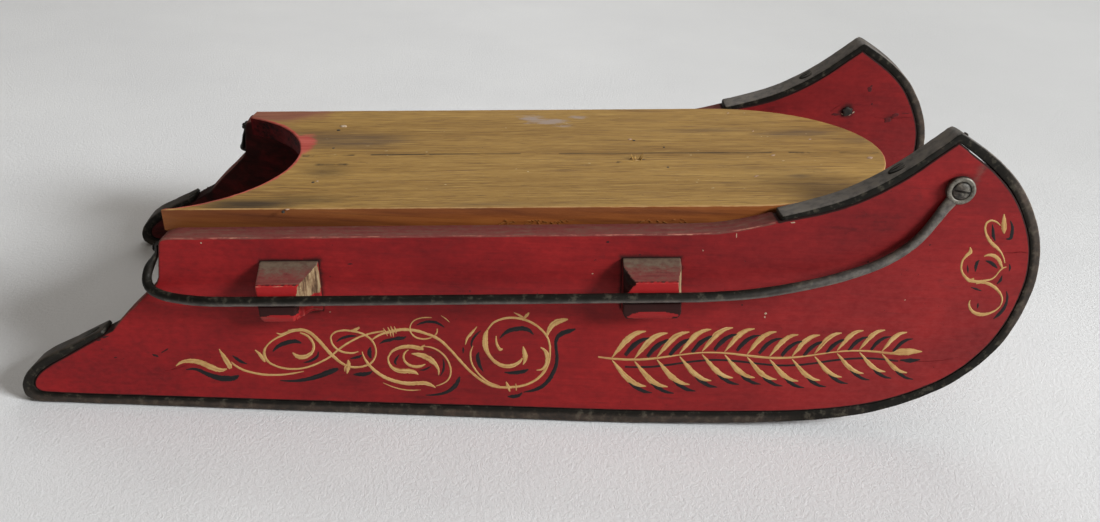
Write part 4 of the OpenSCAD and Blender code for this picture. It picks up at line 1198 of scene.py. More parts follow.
    # nails through the deck into the beams, and flecks of pale paint
    nb = Bag()
    spots = [((338.5, 130), 1.8), ((333.5, 148), 1.5), ((313, 182), 1.4), ((283, 211), 1.3), ((634, 140.2), 1.3), ((668, 167), 1.2), ((664, 147), 1.1)]
    for i, (px, r) in enumerate(spots):
        c = on_deck([px])[0]
        hv, hf = revolve([(0, 0.35), (r * 0.5, 0.33), (r * 0.85, 0.25), (r, 0.05), (r, -1.2)], 18)
        hv = hv * (1, 1 + 0.15 * nz(i * 1.7), 1)
        nb.add(placed(hv, dk(c[0], c[1], DECK_V - 0.25), dk(0, 0, 10) - dk(0, 0, 0), i), [q[::-1] for q in hf], dict(wear=0.1, grime_and_shade=0.25))
    nb.make("deck_nails", IRON, angle=40, slot="dark_iron")
    fb = Bag()
    for i, (px, rx, ry) in enumerate([((344, 126), 3.8, 2.0), ((317, 181), 1.5, 0.9), ((287, 209), 2.0, 1.0), ((630, 139), 2.2, 1.1), ((773, 155), 2.4, 1.2), ((870, 157.5), 3.0, 2.2),
                                       ((810, 139), 1.8, 1.0), ((756, 176), 2.8, 0.9), ((728, 113), 1.8, 0.6), ((753, 131), 1.6, 0.6)]):
        c = on_deck([px])[0]
        vv, ff = fleck(rx, ry, i, 0.7 if i == 0 else 0.3)
        fb.add(placed(vv, dk(c[0], c[1], DECK_V - 0.1), dk(0, 0, 10) - dk(0, 0, 0), 0.1 * i), ff, dict(thin=0.3 if i == 0 else 0.75))
    o = fb.make("deck_paint_flecks", FLECK, angle=50, slot="worn_pine")
    o.data.uv_layers.new(name="along")

# ================================================================ beams with their through tenons
def face_y(bx, v):
    u = (bx - TOP_REAR[0]) / CR
    return HALF - (DECK_Z + u * SR - v - FOOT) * math.tan(SPLAY)

CHIPS = {   # per tenon: three places (along, out, depth) of a broken plane, roughness, 1 pale raw wood or 0 dark with painted shade
    ("rear_beam", 0): [((23.6, 3.0, -19.0), (10.5, 22.1, -29.0), (3.0, 22.1, -64.0), 0.7, 1)],
    ("front_beam", 0): [((-23.6, 8.0, -23.0), (-13.5, 22.2, -30.0), (-23.6, 22.2, -43.0), 0.6, 0),
                        ((23.7, 6.0, -22.0), (19.5, 22.2, -30.0), (23.7, 22.2, -60.0), 0.5, 1)],
    ("rear_beam", 1): [((-23.6, 9.0, -23.0), (-17.0, 22.2, -30.0), (-23.6, 22.2, -38.0), 0.7, 1)],
    ("front_beam", 1): [((23.6, 12.0, -25.0), (17.0, 22.2, -30.0), (23.6, 22.2, -42.0), 0.7, 1)],
}

def build_beam(name, bx):
    u0 = (bx - TOP_REAR[0]) / CR
    bag = Bag()
    # body between the runners
    g, f = grid_box(18, 60, 16)
    vt = -DECK_SET - 0.15
    p = np.column_stack([(g[:, 0] - 0.5) * 54, (g[:, 1] - 0.5) * 2, vt - (1 - g[:, 2]) * (68 + vt)])
    half = np.array([face_y(bx, -v) - PLANK / CS - 0.15 for v in p[:, 2]])
    q = np.column_stack([p[:, 0], (g[:, 1] - 0.5) * 200, p[:, 2]])
    q, e = round_box(q, (-27, -100, -68), (27, 100, vt), 1.3)
    y = q[:, 1] / 100 * half
    jit = 0.25 * fnz(q, 0.06, 3.0)
    bag.add(dk(u0 + q[:, 0] + jit, y, q[:, 2]), f, dict(wear=0.5 * e, grime_and_shade=0.25 + 0.2 * fnz(q, 0.03, 1.0), bare=0.15, raw=0.0))
    for k in (0, 1):
        y1 = face_y(bx, 44.8)
        y0 = y1 - PLANK - 14
        g, f = grid_box(48, 50, 46)
        p = np.column_stack([(g[:, 0] - 0.5) * 47, g[:, 1] * (22 + (y1 - y0)) - (y1 - y0), -64 + g[:, 2] * 44.5])
        lo, hi = (-23.5, -(y1 - y0), -64), (23.5, 22, -19.5)
        q, e = round_box(p, lo, hi, 0.9)
        # the top falls away to the end
        o = q[:, 1]
        fall = np.clip((o - 1.5) / 20.5, 0, 1) * 10.5
        hgt = (q[:, 2] + 64) / 44.5
        q[:, 2] -= fall * hgt
        edge = e.copy()
        # the end of the bevel is an edge too
        edge = np.maximum(edge, np.exp(-np.hypot(22 - o, (1 - hgt) * 34) / 1.4))
        # hollow that the rod lies in
        dv = q[:, 2] + 44.8 - (o - 22) * 0.0
        lie = np.clip(1 - (dv / 4.3) ** 2, 0, None) ** 0.5 * 2.3
        q[:, 1] = np.where(o > 18, np.minimum(o, 22 - lie), o)
        raw, dark = np.zeros(len(q)), np.zeros(len(q))
        for a, b, c, ro, new in CHIPS.get((name, k), ()):
            a, b, c = map(np.array, (a, b, c))
            n = unit(np.cross(b - a, c - a))
            if n @ (np.array((0, 10, -45.0)) - a) > 0:
                n = -n
            d = (q - a) @ n
            rough = ro * (fnz(q * (0.35, 0.35, 1.2), 0.55, 2.2) + 0.5 * fnz(q, 1.1, 4.0))
            # never deeper than the runner's face, which stands further out lower down
            clear = o - (3.4 * (-19.5 - q[:, 2]) / 44.5 - 1.5)
            hit = (d + rough > 0) & (clear > 0)
            q[hit] -= n * (np.minimum(d + rough, 14) * np.clip(clear / 4, 0, 1))[hit][:, None]
            amount = np.where(hit, np.clip(0.55 + (d + rough) * 0.5, 0, 1), 0)
            raw = np.maximum(raw, amount * new)
            dark = np.maximum(dark, amount * (1 - new))
        q += (0.18 * fnz(q, 0.16, 6.0 + k))[:, None] * np.array((0.6, 0.6, 0.6))
        # lower corners of the end rubbed round
        low = np.clip((-56.5 - q[:, 2]) / 7.5, 0, 1) * np.clip((o - 4) / 12, 0, 1)
        q[:, 0] *= 1 - 0.14 * low ** 2
        q[:, 1] -= 2.2 * low ** 2 * (o > 18)
        ragged = 0.9 * fnz(np.column_stack([q[:, 0], q[:, 0] * 0, q[:, 2] * 0]), 0.33, 7.0)
        topface = (g[:, 2] > 0.999) & (o > -2.6) & (o < 20.4 + ragged)
        bare = np.where(topface, 0.95, np.where((edge > 0.5) & (g[:, 2] < 0.999), 0.35, 0.0))
        # the end: a painted highlight on the paint above the rod, and painted shade below it where the rod's shadow
        # falls, but for a rubbed patch at the foot
        endface = o > 17
        foot = ((q[:, 0] + (6 if bx < 300 else 0)) / 20) ** 2 + ((q[:, 2] + 60.5) / 4.4) ** 2 + 0.35 * fnz(q, 0.3, 9.0)
        rubbed = endface & (foot < 1)
        bare = np.maximum(bare, np.where(rubbed, 0.3, 0))
        lit_and_rubbed = np.where(endface & (q[:, 2] > -42) & ~topface, 0.9, np.where(rubbed, 0.5, 0))
        grey = np.where(topface, np.clip(1.0 - o / 24, 0, 1), 0)
        grime_and_shade = np.exp(-np.maximum(0, o + 1.9) / 1.2) * (o > -3) * 0.95
        grime_and_shade = np.maximum(grime_and_shade, np.where(topface, 0.2 + 0.2 * fnz(q, 0.13, 5.5), 0))
        grime_and_shade = np.maximum(grime_and_shade, np.where(endface & (q[:, 2] < -41) & ~rubbed, 0.88, 0))
        grime_and_shade = np.maximum(grime_and_shade, np.where((g[:, 2] > 0.98) & (o > 17), 0.95 * np.exp(-((o - 20.6 - ragged) / 0.55) ** 2), 0))
        # painted shade on the tenon's left side, which faces away from the key light
        grime_and_shade = np.maximum(grime_and_shade, np.where(g[:, 0] < 0.001, 0.6, 0))
        raw = raw * np.clip((q[:, 2] + 50) / 5, 0.3, 1)
        # raw wood takes little dirt; chips flagged 0 get painted shade
        grime_and_shade = np.where(raw > 0.4, grime_and_shade * 0.3 + 0.1, np.maximum(grime_and_shade, 0.95 * (dark > 0.4)))
        pts = dk(u0 + q[:, 0], (y1 + q[:, 1]) * (1 if k else -1), q[:, 2])
        bag.add(pts, f, dict(wear=0.85 * edge, grime_and_shade=grime_and_shade, bare=bare, raw=raw, lit_and_rubbed=lit_and_rubbed, grey=grey), 0, flip=not k)
    bag.make(name + "_wood", RED, angle=44, replaces=name, slot="red_painted_wood")

# ================================================================ grab rods, eyes, bolts, tab screws
TAIL = np.array([
    (126.3, 149.5, -7, 1.8, 5.5), (125.6, 142, -7, 2, 5.5), (121.8, 135.4, -7, 2.6, 4.8),
    (118, 129, -6.8, 3.6, 3.9), (116, 122.8, -4.6, 3.8, 3.8), (117, 117.2, -0.3, 4, 4),
    (121.8, 113.4, 4.9, 4, 4), (131, 111.9, 10.3, 4, 4), (148, 112.5, 17.6, 4, 4),
    (168, 113.6, 22.6, 4, 4), (190, 114.8, 24, 4, 4)], float)
TAIL_LEFT = np.array([      # hammered flatter, hugging the runner's rear edge
    (126.3, 149.5, -7, 1.8, 5.5), (125.6, 142, -7, 2, 5.5), (123.6, 135.4, -7, 2.2, 5.2),
    (122.4, 129, -6.8, 2.4, 5), (120.8, 122.8, -4.6, 3, 4.2), (118.6, 117.4, 0.4, 3.6, 3.6),
    (122.2, 113.2, 6, 3.9, 3.9), (131, 111.9, 10.6, 4, 4), (148, 112.5, 17.6, 4, 4),
    (168, 113.6, 22.6, 4, 4), (190, 114.8, 24, 4, 4)], float)
HEAD = np.array([
    (563, 135.3, 24, 4, 4), (604, 138.8, 21.6, 4, 4), (644, 145.2, 17, 4, 4), (684, 155.2, 11.8, 4, 4),
    (708, 164.8, 9, 4, 4), (723, 173.9, 7, 4, 4), (737, 186.8, 5, 4, 3.6), (746, 200.5, 3.7, 4.2, 3.2),
    (752.5, 212, 2.9, 4.8, 2.6), (758, 220.5, 2.65, 5.2, 2.2)], float)

def rod_path(k):
    hd = HEAD.copy()
    d = np.array(EYE[k]) - np.array(EYE[0])
    t = ((hd[:, 0] - hd[0, 0]) / (hd[-1, 0] - hd[0, 0])) ** 1.6
    hd[:, 0] += d[0] * t; hd[:, 1] += d[1] * t
    run = np.array([TAIL[-1] + (HEAD[0] - TAIL[-1]) * f for f in np.linspace(0, 1, 64)[1:-1]])
    return np.concatenate([smooth(TAIL_LEFT if k else TAIL, 7), run, smooth(hd, 7)])

def build_rod(k):
    side = "left" if k else "right"
    q = rod_path(k)
    n = len(q)
    lump = np.array([nz(i * 0.23, 4.0 + k) for i in range(n)])
    mids = np.column_stack([q[:, 0], -q[:, 2], q[:, 1]])
    hv = q[:, 3:5] * (1 + 0.03 * lump)[:, None]
    v, f = tube(mids, hv, (0, -1, 0), 24)
    v += (0.14 * fnz(v, 0.22, 2.0 + k) + 0.08 * fnz(v, 0.7, 1.0))[:, None] * unit(v - np.repeat(mids, 24, 0))
    x, w, s = v[:, 0], -v[:, 1], v[:, 2]
    bag = Bag()
    out = (v - np.repeat(mids, 24, 0)) @ np.array((0, -0.6, 0.8))
    rub = np.clip((x - 690) / 60, 0, 1) if k == 0 else np.clip((x - 690) / 60, 0, 1)
    wear = 0.02 + 0.12 * (out > 2.5) + 0.5 * rub * (-(v - np.repeat(mids, 24, 0))[:, 1] > 0.5)
    flat = np.clip((s - 124) / 6, 0, 1) * (x < 130)
    wear = np.maximum(wear, 0.3 * np.clip((s - 116) / 8, 0, 1) * (x < 127) * (s < 139))
    # painted highlight: the rod lighter towards its front; painted shade on its side towards the plank; the top half is
    # made darker and the lower half lighter
    lit = np.clip((x - 560) / 90, 0, 1)
    up = (v - np.repeat(mids, 24, 0))[:, 2] / 4
    grime_and_shade = np.where((v - np.repeat(mids, 24, 0))[:, 1] > 1.5, 0.8, np.clip(0.5 + 0.6 * up, 0.12, 0.95) * (1 - 0.45 * lit))
    grime_and_shade = np.maximum(grime_and_shade, 0.6 * flat * (s > 138))
    dust_and_highlight = np.maximum(0.75 * np.clip((x - 590) / 100, 0, 1), np.clip(0.3 - 1.1 * up, 0, 0.85) * (x > 135))
    bag.add(rs(x, s, w, k), f, dict(wear=wear, grime_and_shade=grime_and_shade, dust_and_highlight=dust_and_highlight), 0, flip=bool(k))
    ex, es = EYE[k]
    pr = [(3.2, 0.15), (10.7, 0.15), (11.2, 0.5), (11.5, 1.2), (11.5, 3.6), (11.25, 4.4), (10.6, 4.95), (9.6, 5.15), (8.4, 5.05), (7.7, 4.7), (7.4, 4.1), (7.38, 3.5), (3.2, 3.5)]
    ev, ef = revolve(pr + [pr[0]], 64)
    ang = np.arctan2(ev[:, 1], ev[:, 0])
    dent = 0.25 * np.array([nz(math.cos(a) * 1.5 + k, math.sin(a) * 1.5, 4.4) for a in ang])
    ev[:, 0] += dent * np.cos(ang) * (np.hypot(ev[:, 0], ev[:, 1]) > 9); ev[:, 1] += dent * np.sin(ang) * (np.hypot(ev[:, 0], ev[:, 1]) > 9)
    ew = np.where(ev[:, 2] > 4.3, 1.0, np.where(ev[:, 2] > 3.7, 0.6, 0.2))
    eg = np.where(np.hypot(ev[:, 0], ev[:, 1]) < 7.6, 0.8, np.where(ev[:, 2] < 1, 0.7, 0))
    bag.add(rs(ex + ev[:, 0], es + ev[:, 1], ev[:, 2], k), [q_[::-1] for q_ in ef], dict(wear=ew, grime_and_shade=eg), 0, flip=bool(k))
    bag.make(side + "_rod_iron", IRON, angle=50, replaces=side + "_grab_rod", slot="dark_iron")
    # bolt through the eye
    bag = Bag()
    hv, hf = slotted_head(7.15, 2.4, 0.95, 1.6, 0.55, 56)
    turn = -0.15 if k == 0 else 0.6
    c, s_ = math.cos(turn), math.sin(turn)
    hx, hy = hv[:, 0] * c - hv[:, 1] * s_, hv[:, 0] * s_ + hv[:, 1] * c
    bag.add(rs(ex + hx, es + hy, 3.6 + hv[:, 2], k), hf, dict(wear=np.where(hv[:, 2] > 1.6, 0.75, 0.35), grime_and_shade=np.where(hv[:, 2] < 0.4, 0.8, 0.0)), 0, flip=bool(k))
    sv, sf = revolve([(0, 3.7), (3, 3.7)] + [(r_, -PLANK - z_) for r_, z_ in ((3, 0.1), (4.4, 0.1), (4.9, 0.6), (4.7, 1.4), (3.4, 1.95), (1.6, 1.7), (0, 1.85))], 28)
    ang = np.arctan2(sv[:, 1], sv[:, 0])
    jag = 1 + np.where(sv[:, 2] < -PLANK - 0.05, 0.45 * np.array([nz(math.cos(a) * 2 + 3, math.sin(a) * 2, 1.1 + k) for a in ang]), 0)
    bag.add(rs(ex + sv[:, 0] * jag, es + sv[:, 1] * jag, sv[:, 2], k), sf, dict(wear=0.15, grime_and_shade=0.55), 0, flip=not k)
    bag.make(side + "_bolt_iron", IRON, angle=46, replaces=side + "_eye_bolt", slot="dark_iron")
    # screw through the rod's rear tab
    bag = Bag()
    hv, hf = slotted_head(3.2, 1.2, 0.45, 0.8, 0.3, 28)
    at = rs(123.5, 146, -7, k)
    out = rs(113, 146, -7, k) - at
    bag.add(placed(hv, at, out, 0.5, (0, 1, 0)), hf, dict(wear=0.3, grime_and_shade=0.25))
    sv, sf = revolve([(0, 0), (1.4, 0), (1.4, -18), (0, -21)], 16)
    bag.add(placed(sv, at, out), [q_[::-1] for q_ in sf], dict(wear=0, grime_and_shade=0.4))
    bag.make(side + "_tab_screw_iron", IRON, angle=46, replaces=side + "_tab_screw", slot="dark_iron")

# ================================================================ painted scrolls
# Brush strokes as view points with half widths, on the right runner; mirrored for the left.
CREAM_STROKES = [
    [(176, 366, .5), (180, 363, 1.3), (188, 361, 1.9), (195, 361.3, 2.3), (202, 363, 2.6), (209, 366.2, 2.6), (216, 369, 2.3), (222, 370.2, 1.7), (227, 368.9, .6)],
    [(219, 349, .4), (223, 355.5, 1.8), (226.5, 361, 2.4), (229.5, 366, 2.5), (230.5, 368.6, 1.6)],
    [(231, 362, .8), (236, 366, 1.1), (242, 369.3, 1.1), (250, 372, 1.1), (260, 374.1, 1.1), (270, 374.9, 1), (282, 374.7, .9), (294, 373.2, .8), (304, 371.3, .5)],
    [(255, 350, .5), (259, 353.5, 1.4), (262.5, 358, 1.9), (265, 362, .7)],
    [(304, 330.6, .5), (292, 331.3, 1.1), (283, 335, 1.1), (274, 339.5, .9), (267.5, 345, .8), (264.2, 351, 1.3), (265, 357, 1.5), (269, 362.3, 1), (276, 366, .9), (286, 368.5, .9),
     (298, 368.8, .9), (308, 367, .9), (316, 364.2, .9), (323, 360.8, .9), (330, 356.7, .9), (337, 350.8, 1), (344, 345.5, 1), (352, 340.8, 1), (361, 336.4, .9), (371, 333.3, .9), (384, 331, .8)],
    [(276.5, 333, .4), (281, 334.3, 1), (286, 333, 1.4), (292, 330, .7)],
    [(288, 330.5, .5), (296, 329.7, 1.2), (304, 330.2, 1.5), (311, 333.5, 1.6), (318, 339.8, 1.6), (324, 346.4, 1.6), (330, 353.2, 1.6), (336, 358.8, 1.4), (342, 363.3, 1.2), (348, 366.4, 1), (356, 367.3, 1),
     (364, 366.2, .9), (371, 363, .9), (375, 357.5, .8), (376, 351, .8), (374.5, 345, .9), (371, 339.5, 1), (365, 335, 1), (358, 332.2, 1), (350, 330.8, .9), (342, 330.5, .9), (335, 332.3, .8),
     (331, 336.3, .8), (331.3, 341.5, .9), (335, 347.5, 1), (341, 351.3, 1), (348, 352.9, .9), (354, 352.9, .8), (358.5, 351.4, .4)],
    [(300, 332.8, .7), (306, 335, 1.1), (311, 339.5, 1.2), (313.7, 345.3, 1.2), (312.8, 351, 1.3), (308.5, 355.3, 1.8), (302.5, 357.2, 2.2), (297, 356.2, 1.9), (292.5, 352.7, .6)],
    [(350, 331, .8), (355, 329.9, 1.6), (359.5, 327.3, .9)],
    [(348, 360, .8), (348.7, 364, 2), (348, 369, 2), (347, 373.5, .6)], [(346, 364, .6), (344.8, 368, .9), (344.8, 371.5, .4)],
    [(371.5, 340, .7), (377, 336.3, 1), (384, 333.2, 1.1), (392, 331.3, 1.4), (400, 329.7, 1.5), (410, 329.8, 1.5), (419, 331.3, 1.4), (427, 334, 1.2), (434, 336.6, 1.3), (441, 340.8, 1.3), (447, 346.5, 1.3),
     (453, 352.7, 1.3), (459.5, 360, 1.3), (466.5, 367.7, 1.2), (474, 374.6, 1.2), (482, 380.8, 1.2), (491, 385.4, 1.2), (500, 387.3, 1.2), (509, 387.2, 1.2), (518, 386.6, 1.1), (527, 384.2, 1.1), (535, 380.4, 1.1),
     (541.5, 375, 1.3), (546, 368.5, 1.4), (548.7, 361, 1.2), (550, 352, 1), (549.5, 344, 1), (546.8, 336.3, 1), (541, 329.3, 1.1), (534, 324, 1.1), (527, 320.6, 1.2), (519, 318.4, 1.2), (509, 317.8, 1.1),
     (500, 319.6, 1), (492.5, 323.5, .9), (487.8, 329.3, .9)],
    [(487.5, 329.5, .8), (485.7, 335, 2.3), (485, 342, 2.9), (486, 348.5, 2.6), (488.2, 353.5, 1.7), (492.3, 359.3, 1.5), (498.5, 364, 1.8), (506, 366.2, 1.9), (513.5, 365.3, 1.9), (519.5, 361.8, 1.5), (522.5, 358, .7)],
    [(523, 346.5, .6), (524, 351, 2), (525.2, 356, 2.5), (524.8, 361, 1.6), (523, 364.5, .5)],
    [(496, 335.8, .5), (496.2, 341.5, 1.1), (497.8, 346.3, 1.4), (500.3, 349.4, 1.7), (502.8, 349, .6)],
    [(514, 312.5, .4), (519, 315.2, 1), (523.5, 317.8, 1)], [(529, 312.5, .7), (526.8, 315.3, 1.5), (524, 318.2, .9)],
    [(568, 319.3, .7), (562, 320.4, 2.2), (556, 322.3, 2.7), (551.5, 326, 2.5), (548.5, 331, 1.9), (547, 336, .8)],
    [(540.5, 347.3, .5), (544.5, 350.2, 1.4), (547, 355, 2.2), (547.4, 361, 2.1), (545.2, 366.3, 1.5), (541, 369.6, .9), (536.5, 370.2, .4)],
    [(506, 381.8, .6), (508, 386.3, 1.8), (509.8, 391.5, .6)], [(515.7, 383.6, .6), (516.2, 390.5, .6)], [(512, 387.3, .5), (519, 387, .6)],
    [(383, 328, .4), (385.5, 332, .9), (387.5, 336, .4)], [(387.5, 327, .4), (389.7, 331.5, 1), (391, 336.5, .4)], [(390.5, 326, .4), (392.3, 331, 1.1), (393.5, 336.6, .4)], [(394, 326.3, .4), (395.3, 330, 1), (396, 333.5, .4)],
    [(437, 328.5, .6), (437, 332, .8), (435, 335.4, .7)],
    [(432, 337.4, .5), (426, 338.9, .8), (419, 338.5, .8), (413.5, 335.8, .8), (410.3, 331.3, .7), (410.2, 326, .6), (413, 321.4, .6), (418.5, 318.6, .6), (426, 317.5, .6), (432, 317.7, .4)],
    [(388.5, 356, .6), (391.5, 352, 1), (396.5, 348.8, 1.4), (404, 346.9, 1.7), (412, 346.7, 1.8), (419, 348, 2), (423.5, 349.5, .9)], [(419, 348.5, .7), (422.5, 346.7, 1.2), (425, 344.8, .4)],
    [(423, 346.2, .4), (431, 347.4, .8), (438, 350.4, .8), (444, 355.4, .9), (448.5, 362, .9), (450.6, 369, .9), (450.2, 375.5, .8), (447, 380.8, .7), (441, 384.3, .6), (436, 386, .4)],
    [(391, 352.8, .7), (388.4, 357, .9), (388.6, 362, 1), (391.2, 366.6, 1.3), (396.3, 369.9, 1.9), (403, 371, 2.3), (410, 371.2, 2.2), (415, 372.4, 1.7), (418.3, 374.6, .5)],
    [(408.5, 349.6, .5), (404.6, 353, .9), (403.4, 357, 1), (405, 361.4, 1.1), (409, 364.9, 1.3), (415, 366.6, 1.4), (421, 366, 1.3), (425.5, 364.2, .5)],
    [(411.5, 353.6, .5), (418, 354.6, 1.9), (425, 356.6, 2.6), (431, 360, 2.6), (436, 365, 1.7), (438.6, 370.5, 1), (438.6, 375, .4)],
    [(362, 351.5, .4), (363.8, 357, .9), (367, 362.3, 1.3), (371.5, 367.6, 1.4), (377, 372.4, 1.5), (384, 376.9, 1.6), (392, 380.2, 1.7), (401, 382.6, 1.7), (410, 383.6, 1.8), (418, 383.2, 1.8), (424, 383, 1.9), (430, 384.6, 1.7), (435.5, 387.6, .5)],
    [(383, 382.8, .3), (392, 386.6, .5), (402, 389.3, .6), (412, 390.3, .6), (421, 389.8, .3)],
    [(477, 326.5, .4), (471.5, 333, 1.3), (467, 338.5, 1.2), (465.3, 344.5, .4)],
    [(473, 345.5, .4), (470.5, 352.5, .9), (471.2, 361.5, .9), (475.3, 369.8, .9), (482, 377.3, .9), (490, 382.9, .9), (499.5, 386.2, .7)],
    [(441, 315.5, .3), (446, 319, .5), (449.5, 322.2, .3)],
    # upright scroll at the front
    [(1004, 214, .6), (1004, 219, 1.7), (1004, 224.5, 2.7), (1004, 229.5, 2.4), (1004, 233.5, .7)],
    [(1000.5, 225.5, .5), (996.5, 222, .8), (991.5, 220.5, .9), (987, 222.8, 1), (985.2, 228, 1.1), (986, 233.5, 1.2), (989, 239.5, 1.6), (993.5, 245, 1.9), (998, 248.8, 1.4), (1001, 252.6, .9), (1003.6, 258, .8), (1004.8, 263, .5)],
    [(984, 256.4, .5), (989, 254.9, 1.2), (994.5, 256, 1.8), (998.7, 259.6, 1.9), (1001, 264.5, 1.4), (1002.3, 268.6, .6)],
    [(1006.5, 266.8, .5), (1002, 268.7, .8), (999, 271.6, .7), (996, 275.6, .7), (992, 278.9, .8), (985, 280.6, 1), (978, 281.6, 1.3), (971, 281, 1.6)],
    [(970, 247, .5), (970.6, 251.5, 2), (966.5, 255.6, 1.3), (963, 260, 1), (961.3, 266, 1), (962, 272, 1.1), (965.5, 277.2, 1.4), (970, 280.6, 1.9), (974, 278.4, .7)],
    [(976, 283.6, .6), (982, 282.4, 1.2), (988, 283.6, 1.5), (993.5, 286.5, 1.5), (998, 290.6, 1.4), (1001.5, 296, 1), (1002, 301, .7), (1000, 306, .6), (995, 310.6, .8), (988, 313.6, 1.2), (980, 314.4, 1.8), (974, 312.4, 1.6), (970, 308, 1.2), (969, 303.6, .9), (970.2, 300, .4)],
]
BLACK_STROKES = [
    [(186, 369.6, .4), (193, 368.9, 1.3), (199, 370.2, 1.6), (206, 373.5, 2), (213, 376.2, 2.5), (221, 378.2, 2.8), (230, 378.5, 2.7), (236, 377.3, 2.2), (239, 375.4, .7)],
    [(232.5, 355.6, .4), (236.5, 358.6, 1.4), (241, 361.6, 1.5), (247, 364, .5)],
    [(272.8, 351.5, .6), (277, 347, 1.8), (283, 343.8, 2.2), (290, 341.9, 2.3), (296, 341.4, 2), (301.5, 343, .6)],
    [(318.5, 351.5, .4), (317.5, 356, 1.3), (313, 359.6, 1.4), (308, 361.8, 1), (303.5, 362.5, .3)],
    [(280, 380.6, .4), (290, 381, 1.1), (300, 380.4, 1.6), (310, 378.7, 2.1), (319, 376, 2.6), (328, 372.6, 2.7), (334, 370.3, 2.6), (338.3, 368.8, 1.1)],
    [(336.5, 341.8, .4), (341, 338.6, 1.2), (346, 336.9, 1.4), (352, 336, 1.2), (356.5, 336, .4)],
    [(350.5, 358.6, .4), (355, 357.6, 1.3), (359.5, 356.6, 1.3), (362.3, 354.8, .4)],
    [(353.5, 374.6, .6), (359, 374.3, 2), (364, 374.2, 2.2), (369.5, 373, 1.5), (372.3, 371.3, .4)],
    [(370.6, 347, .7), (369.5, 351, 2.2), (369.7, 355, 2), (371.2, 358.4, .5)],
    [(379.5, 343.6, .4), (385, 340.9, 1.5), (390, 340, 1.7), (394, 338.8, 1.2), (398, 338.4, 2), (403, 338, 1.5), (406.4, 336.6, .4)],
    [(416.5, 325.2, .4), (422, 322.8, 1.1), (429, 321.6, 1.4), (436, 322.6, 1.3), (441, 325, 1), (444.5, 327.4, .4)],
    [(399.3, 354.6, .4), (396.5, 358.5, 1.2), (395, 362, 1.3), (396.6, 365, .4)],
    [(419.5, 370.2, .4), (424, 369.8, 1), (428, 368, .8), (431.5, 365.6, .3)],
    [(443, 358.6, .4), (443.8, 364, 1), (443.3, 370, 1.2), (440.3, 376, .4)],
    [(425.5, 395.1, .4), (435, 394.8, 1.1), (443, 393.3, 1.4), (450, 390.2, 1.9), (455, 386, 2.2), (458, 381, 2.1), (459.8, 376.6, .7)],
    [(480.8, 330.6, .4), (476.5, 334.5, 1.1), (473, 339, 1.2), (471.3, 344.5, .8), (472, 347.6, .3)],
    [(463, 347.2, .5), (463.3, 350, 1.1), (463, 353.4, .4)],
    [(479, 352, .5), (477.5, 356, 1.8), (478.3, 361, 2), (480, 366, 1.6), (483.3, 371.6, .4)],
    [(499.6, 338.5, .4), (504.5, 333.5, 1.5), (510, 330.3, 2.2), (517, 328.8, 2.4), (524, 328.7, 2.3), (529.5, 330.7, 1.7), (533.4, 334.6, .5)],
    [(504.5, 372.3, .5), (511, 372.8, 1.6), (518, 372.3, 2), (524, 371.3, 1.9), (528.5, 369.2, .6)],
    [(507.5, 396.6, .4), (512, 396.5, 1.8), (518, 395.8, 1.8), (522.3, 392.6, .6)],
    [(575.5, 329.2, .8), (569, 331, 2.2), (562, 333.5, 2.4), (557.5, 337, 2.1), (555.8, 343, 1.6), (556.3, 350, 1.6), (557, 358, 1.8), (555.8, 366, 1.8), (553, 373, 2), (549, 379.5, 2.2), (544, 385, 2), (537, 389, 1.7), (530, 391, 1.2), (523.5, 392.2, .4)],
    [(992.4, 224.4, .4), (993, 230, 1.5), (993.5, 236, 1.8), (995.2, 241, .5)],
    [(1010.4, 220.6, .5), (1012.4, 227, 1.5), (1012, 233, 1.8), (1010, 238.5, 1.6), (1006, 239.2, .5)],
    [(979.3, 260, .4), (977, 262.8, 1.6), (975.8, 267, 1.6), (975.4, 271.6, .5)],
    [(967.4, 265, .3), (967.8, 269, 1.1), (968, 273, .4)], [(985.5, 260.8, .5), (990, 262.3, 1.7), (994, 265, 1.8), (997.4, 268.4, .5)],
    [(1009.4, 264, .4), (1010, 268, 1.2), (1009.2, 271.2, .4)], [(1002.2, 275.5, .4), (1000.5, 280, 1.5), (997, 284, .5)],
    [(971, 287.3, .4), (976, 289, 1.1), (981.5, 290.9, .4)], [(978.2, 303, .4), (977.8, 305.5, 1.1), (977.4, 308.3, .4)],
    [(1006.4, 291, .4), (1007.4, 297, 1.2), (1006.3, 303, 1.4), (1003, 309.5, 1.7), (998, 315, 1.6), (993.6, 319, .5)],
]

def sprig():
    """A plain leafy branch along the runner's middle: a stem with pairs of brush leaves, each with its shade."""
    cream, black = [], []
    stem = [(598 + 21 * i, 357 - 0.012 * (i * 21) + 3.2 * math.sin(i * 0.9), 0.9 + 0.25 * math.sin(i)) for i in range(15)]
    cream.append(stem)
    black.append([(x + 6, y + 7.5, 1.0) for x, y, w in stem[1:]])
    for i in range(0, 13):
        x, y = 612 + 22.5 * i, 357 - 0.012 * 22.5 * i + 3.2 * math.sin((14 + 22.5 * i) / 21 * 0.9)
        g = 1.0 - 0.022 * i
        for sg in (-1, 1):
            leaf = [(x, y + sg * 1.5, .5), (x + 7 * g, y + sg * 10 * g, 2.1 * g), (x + 16 * g, y + sg * 20 * g, 3.0 * g), (x + 26 * g, y + sg * 26 * g, 2.0 * g), (x + 34 * g, y + sg * 27.5 * g, .5)]
            cream.append(leaf)
            black.append([(a + 6, b + 6.5, c * 0.85) for a, b, c in leaf[1:]])
    x, y = stem[-1][:2]
    cream.append([(x - 2, y, .6), (x + 8, y - 1.5, 3.2), (x + 18, y - 2, 3.4), (x + 30, y - 2, .5)])
    black.append([(x + 8, y + 6.5, .6), (x + 18, y + 7, 2.4), (x + 28, y + 6, .5)])
    return cream, black

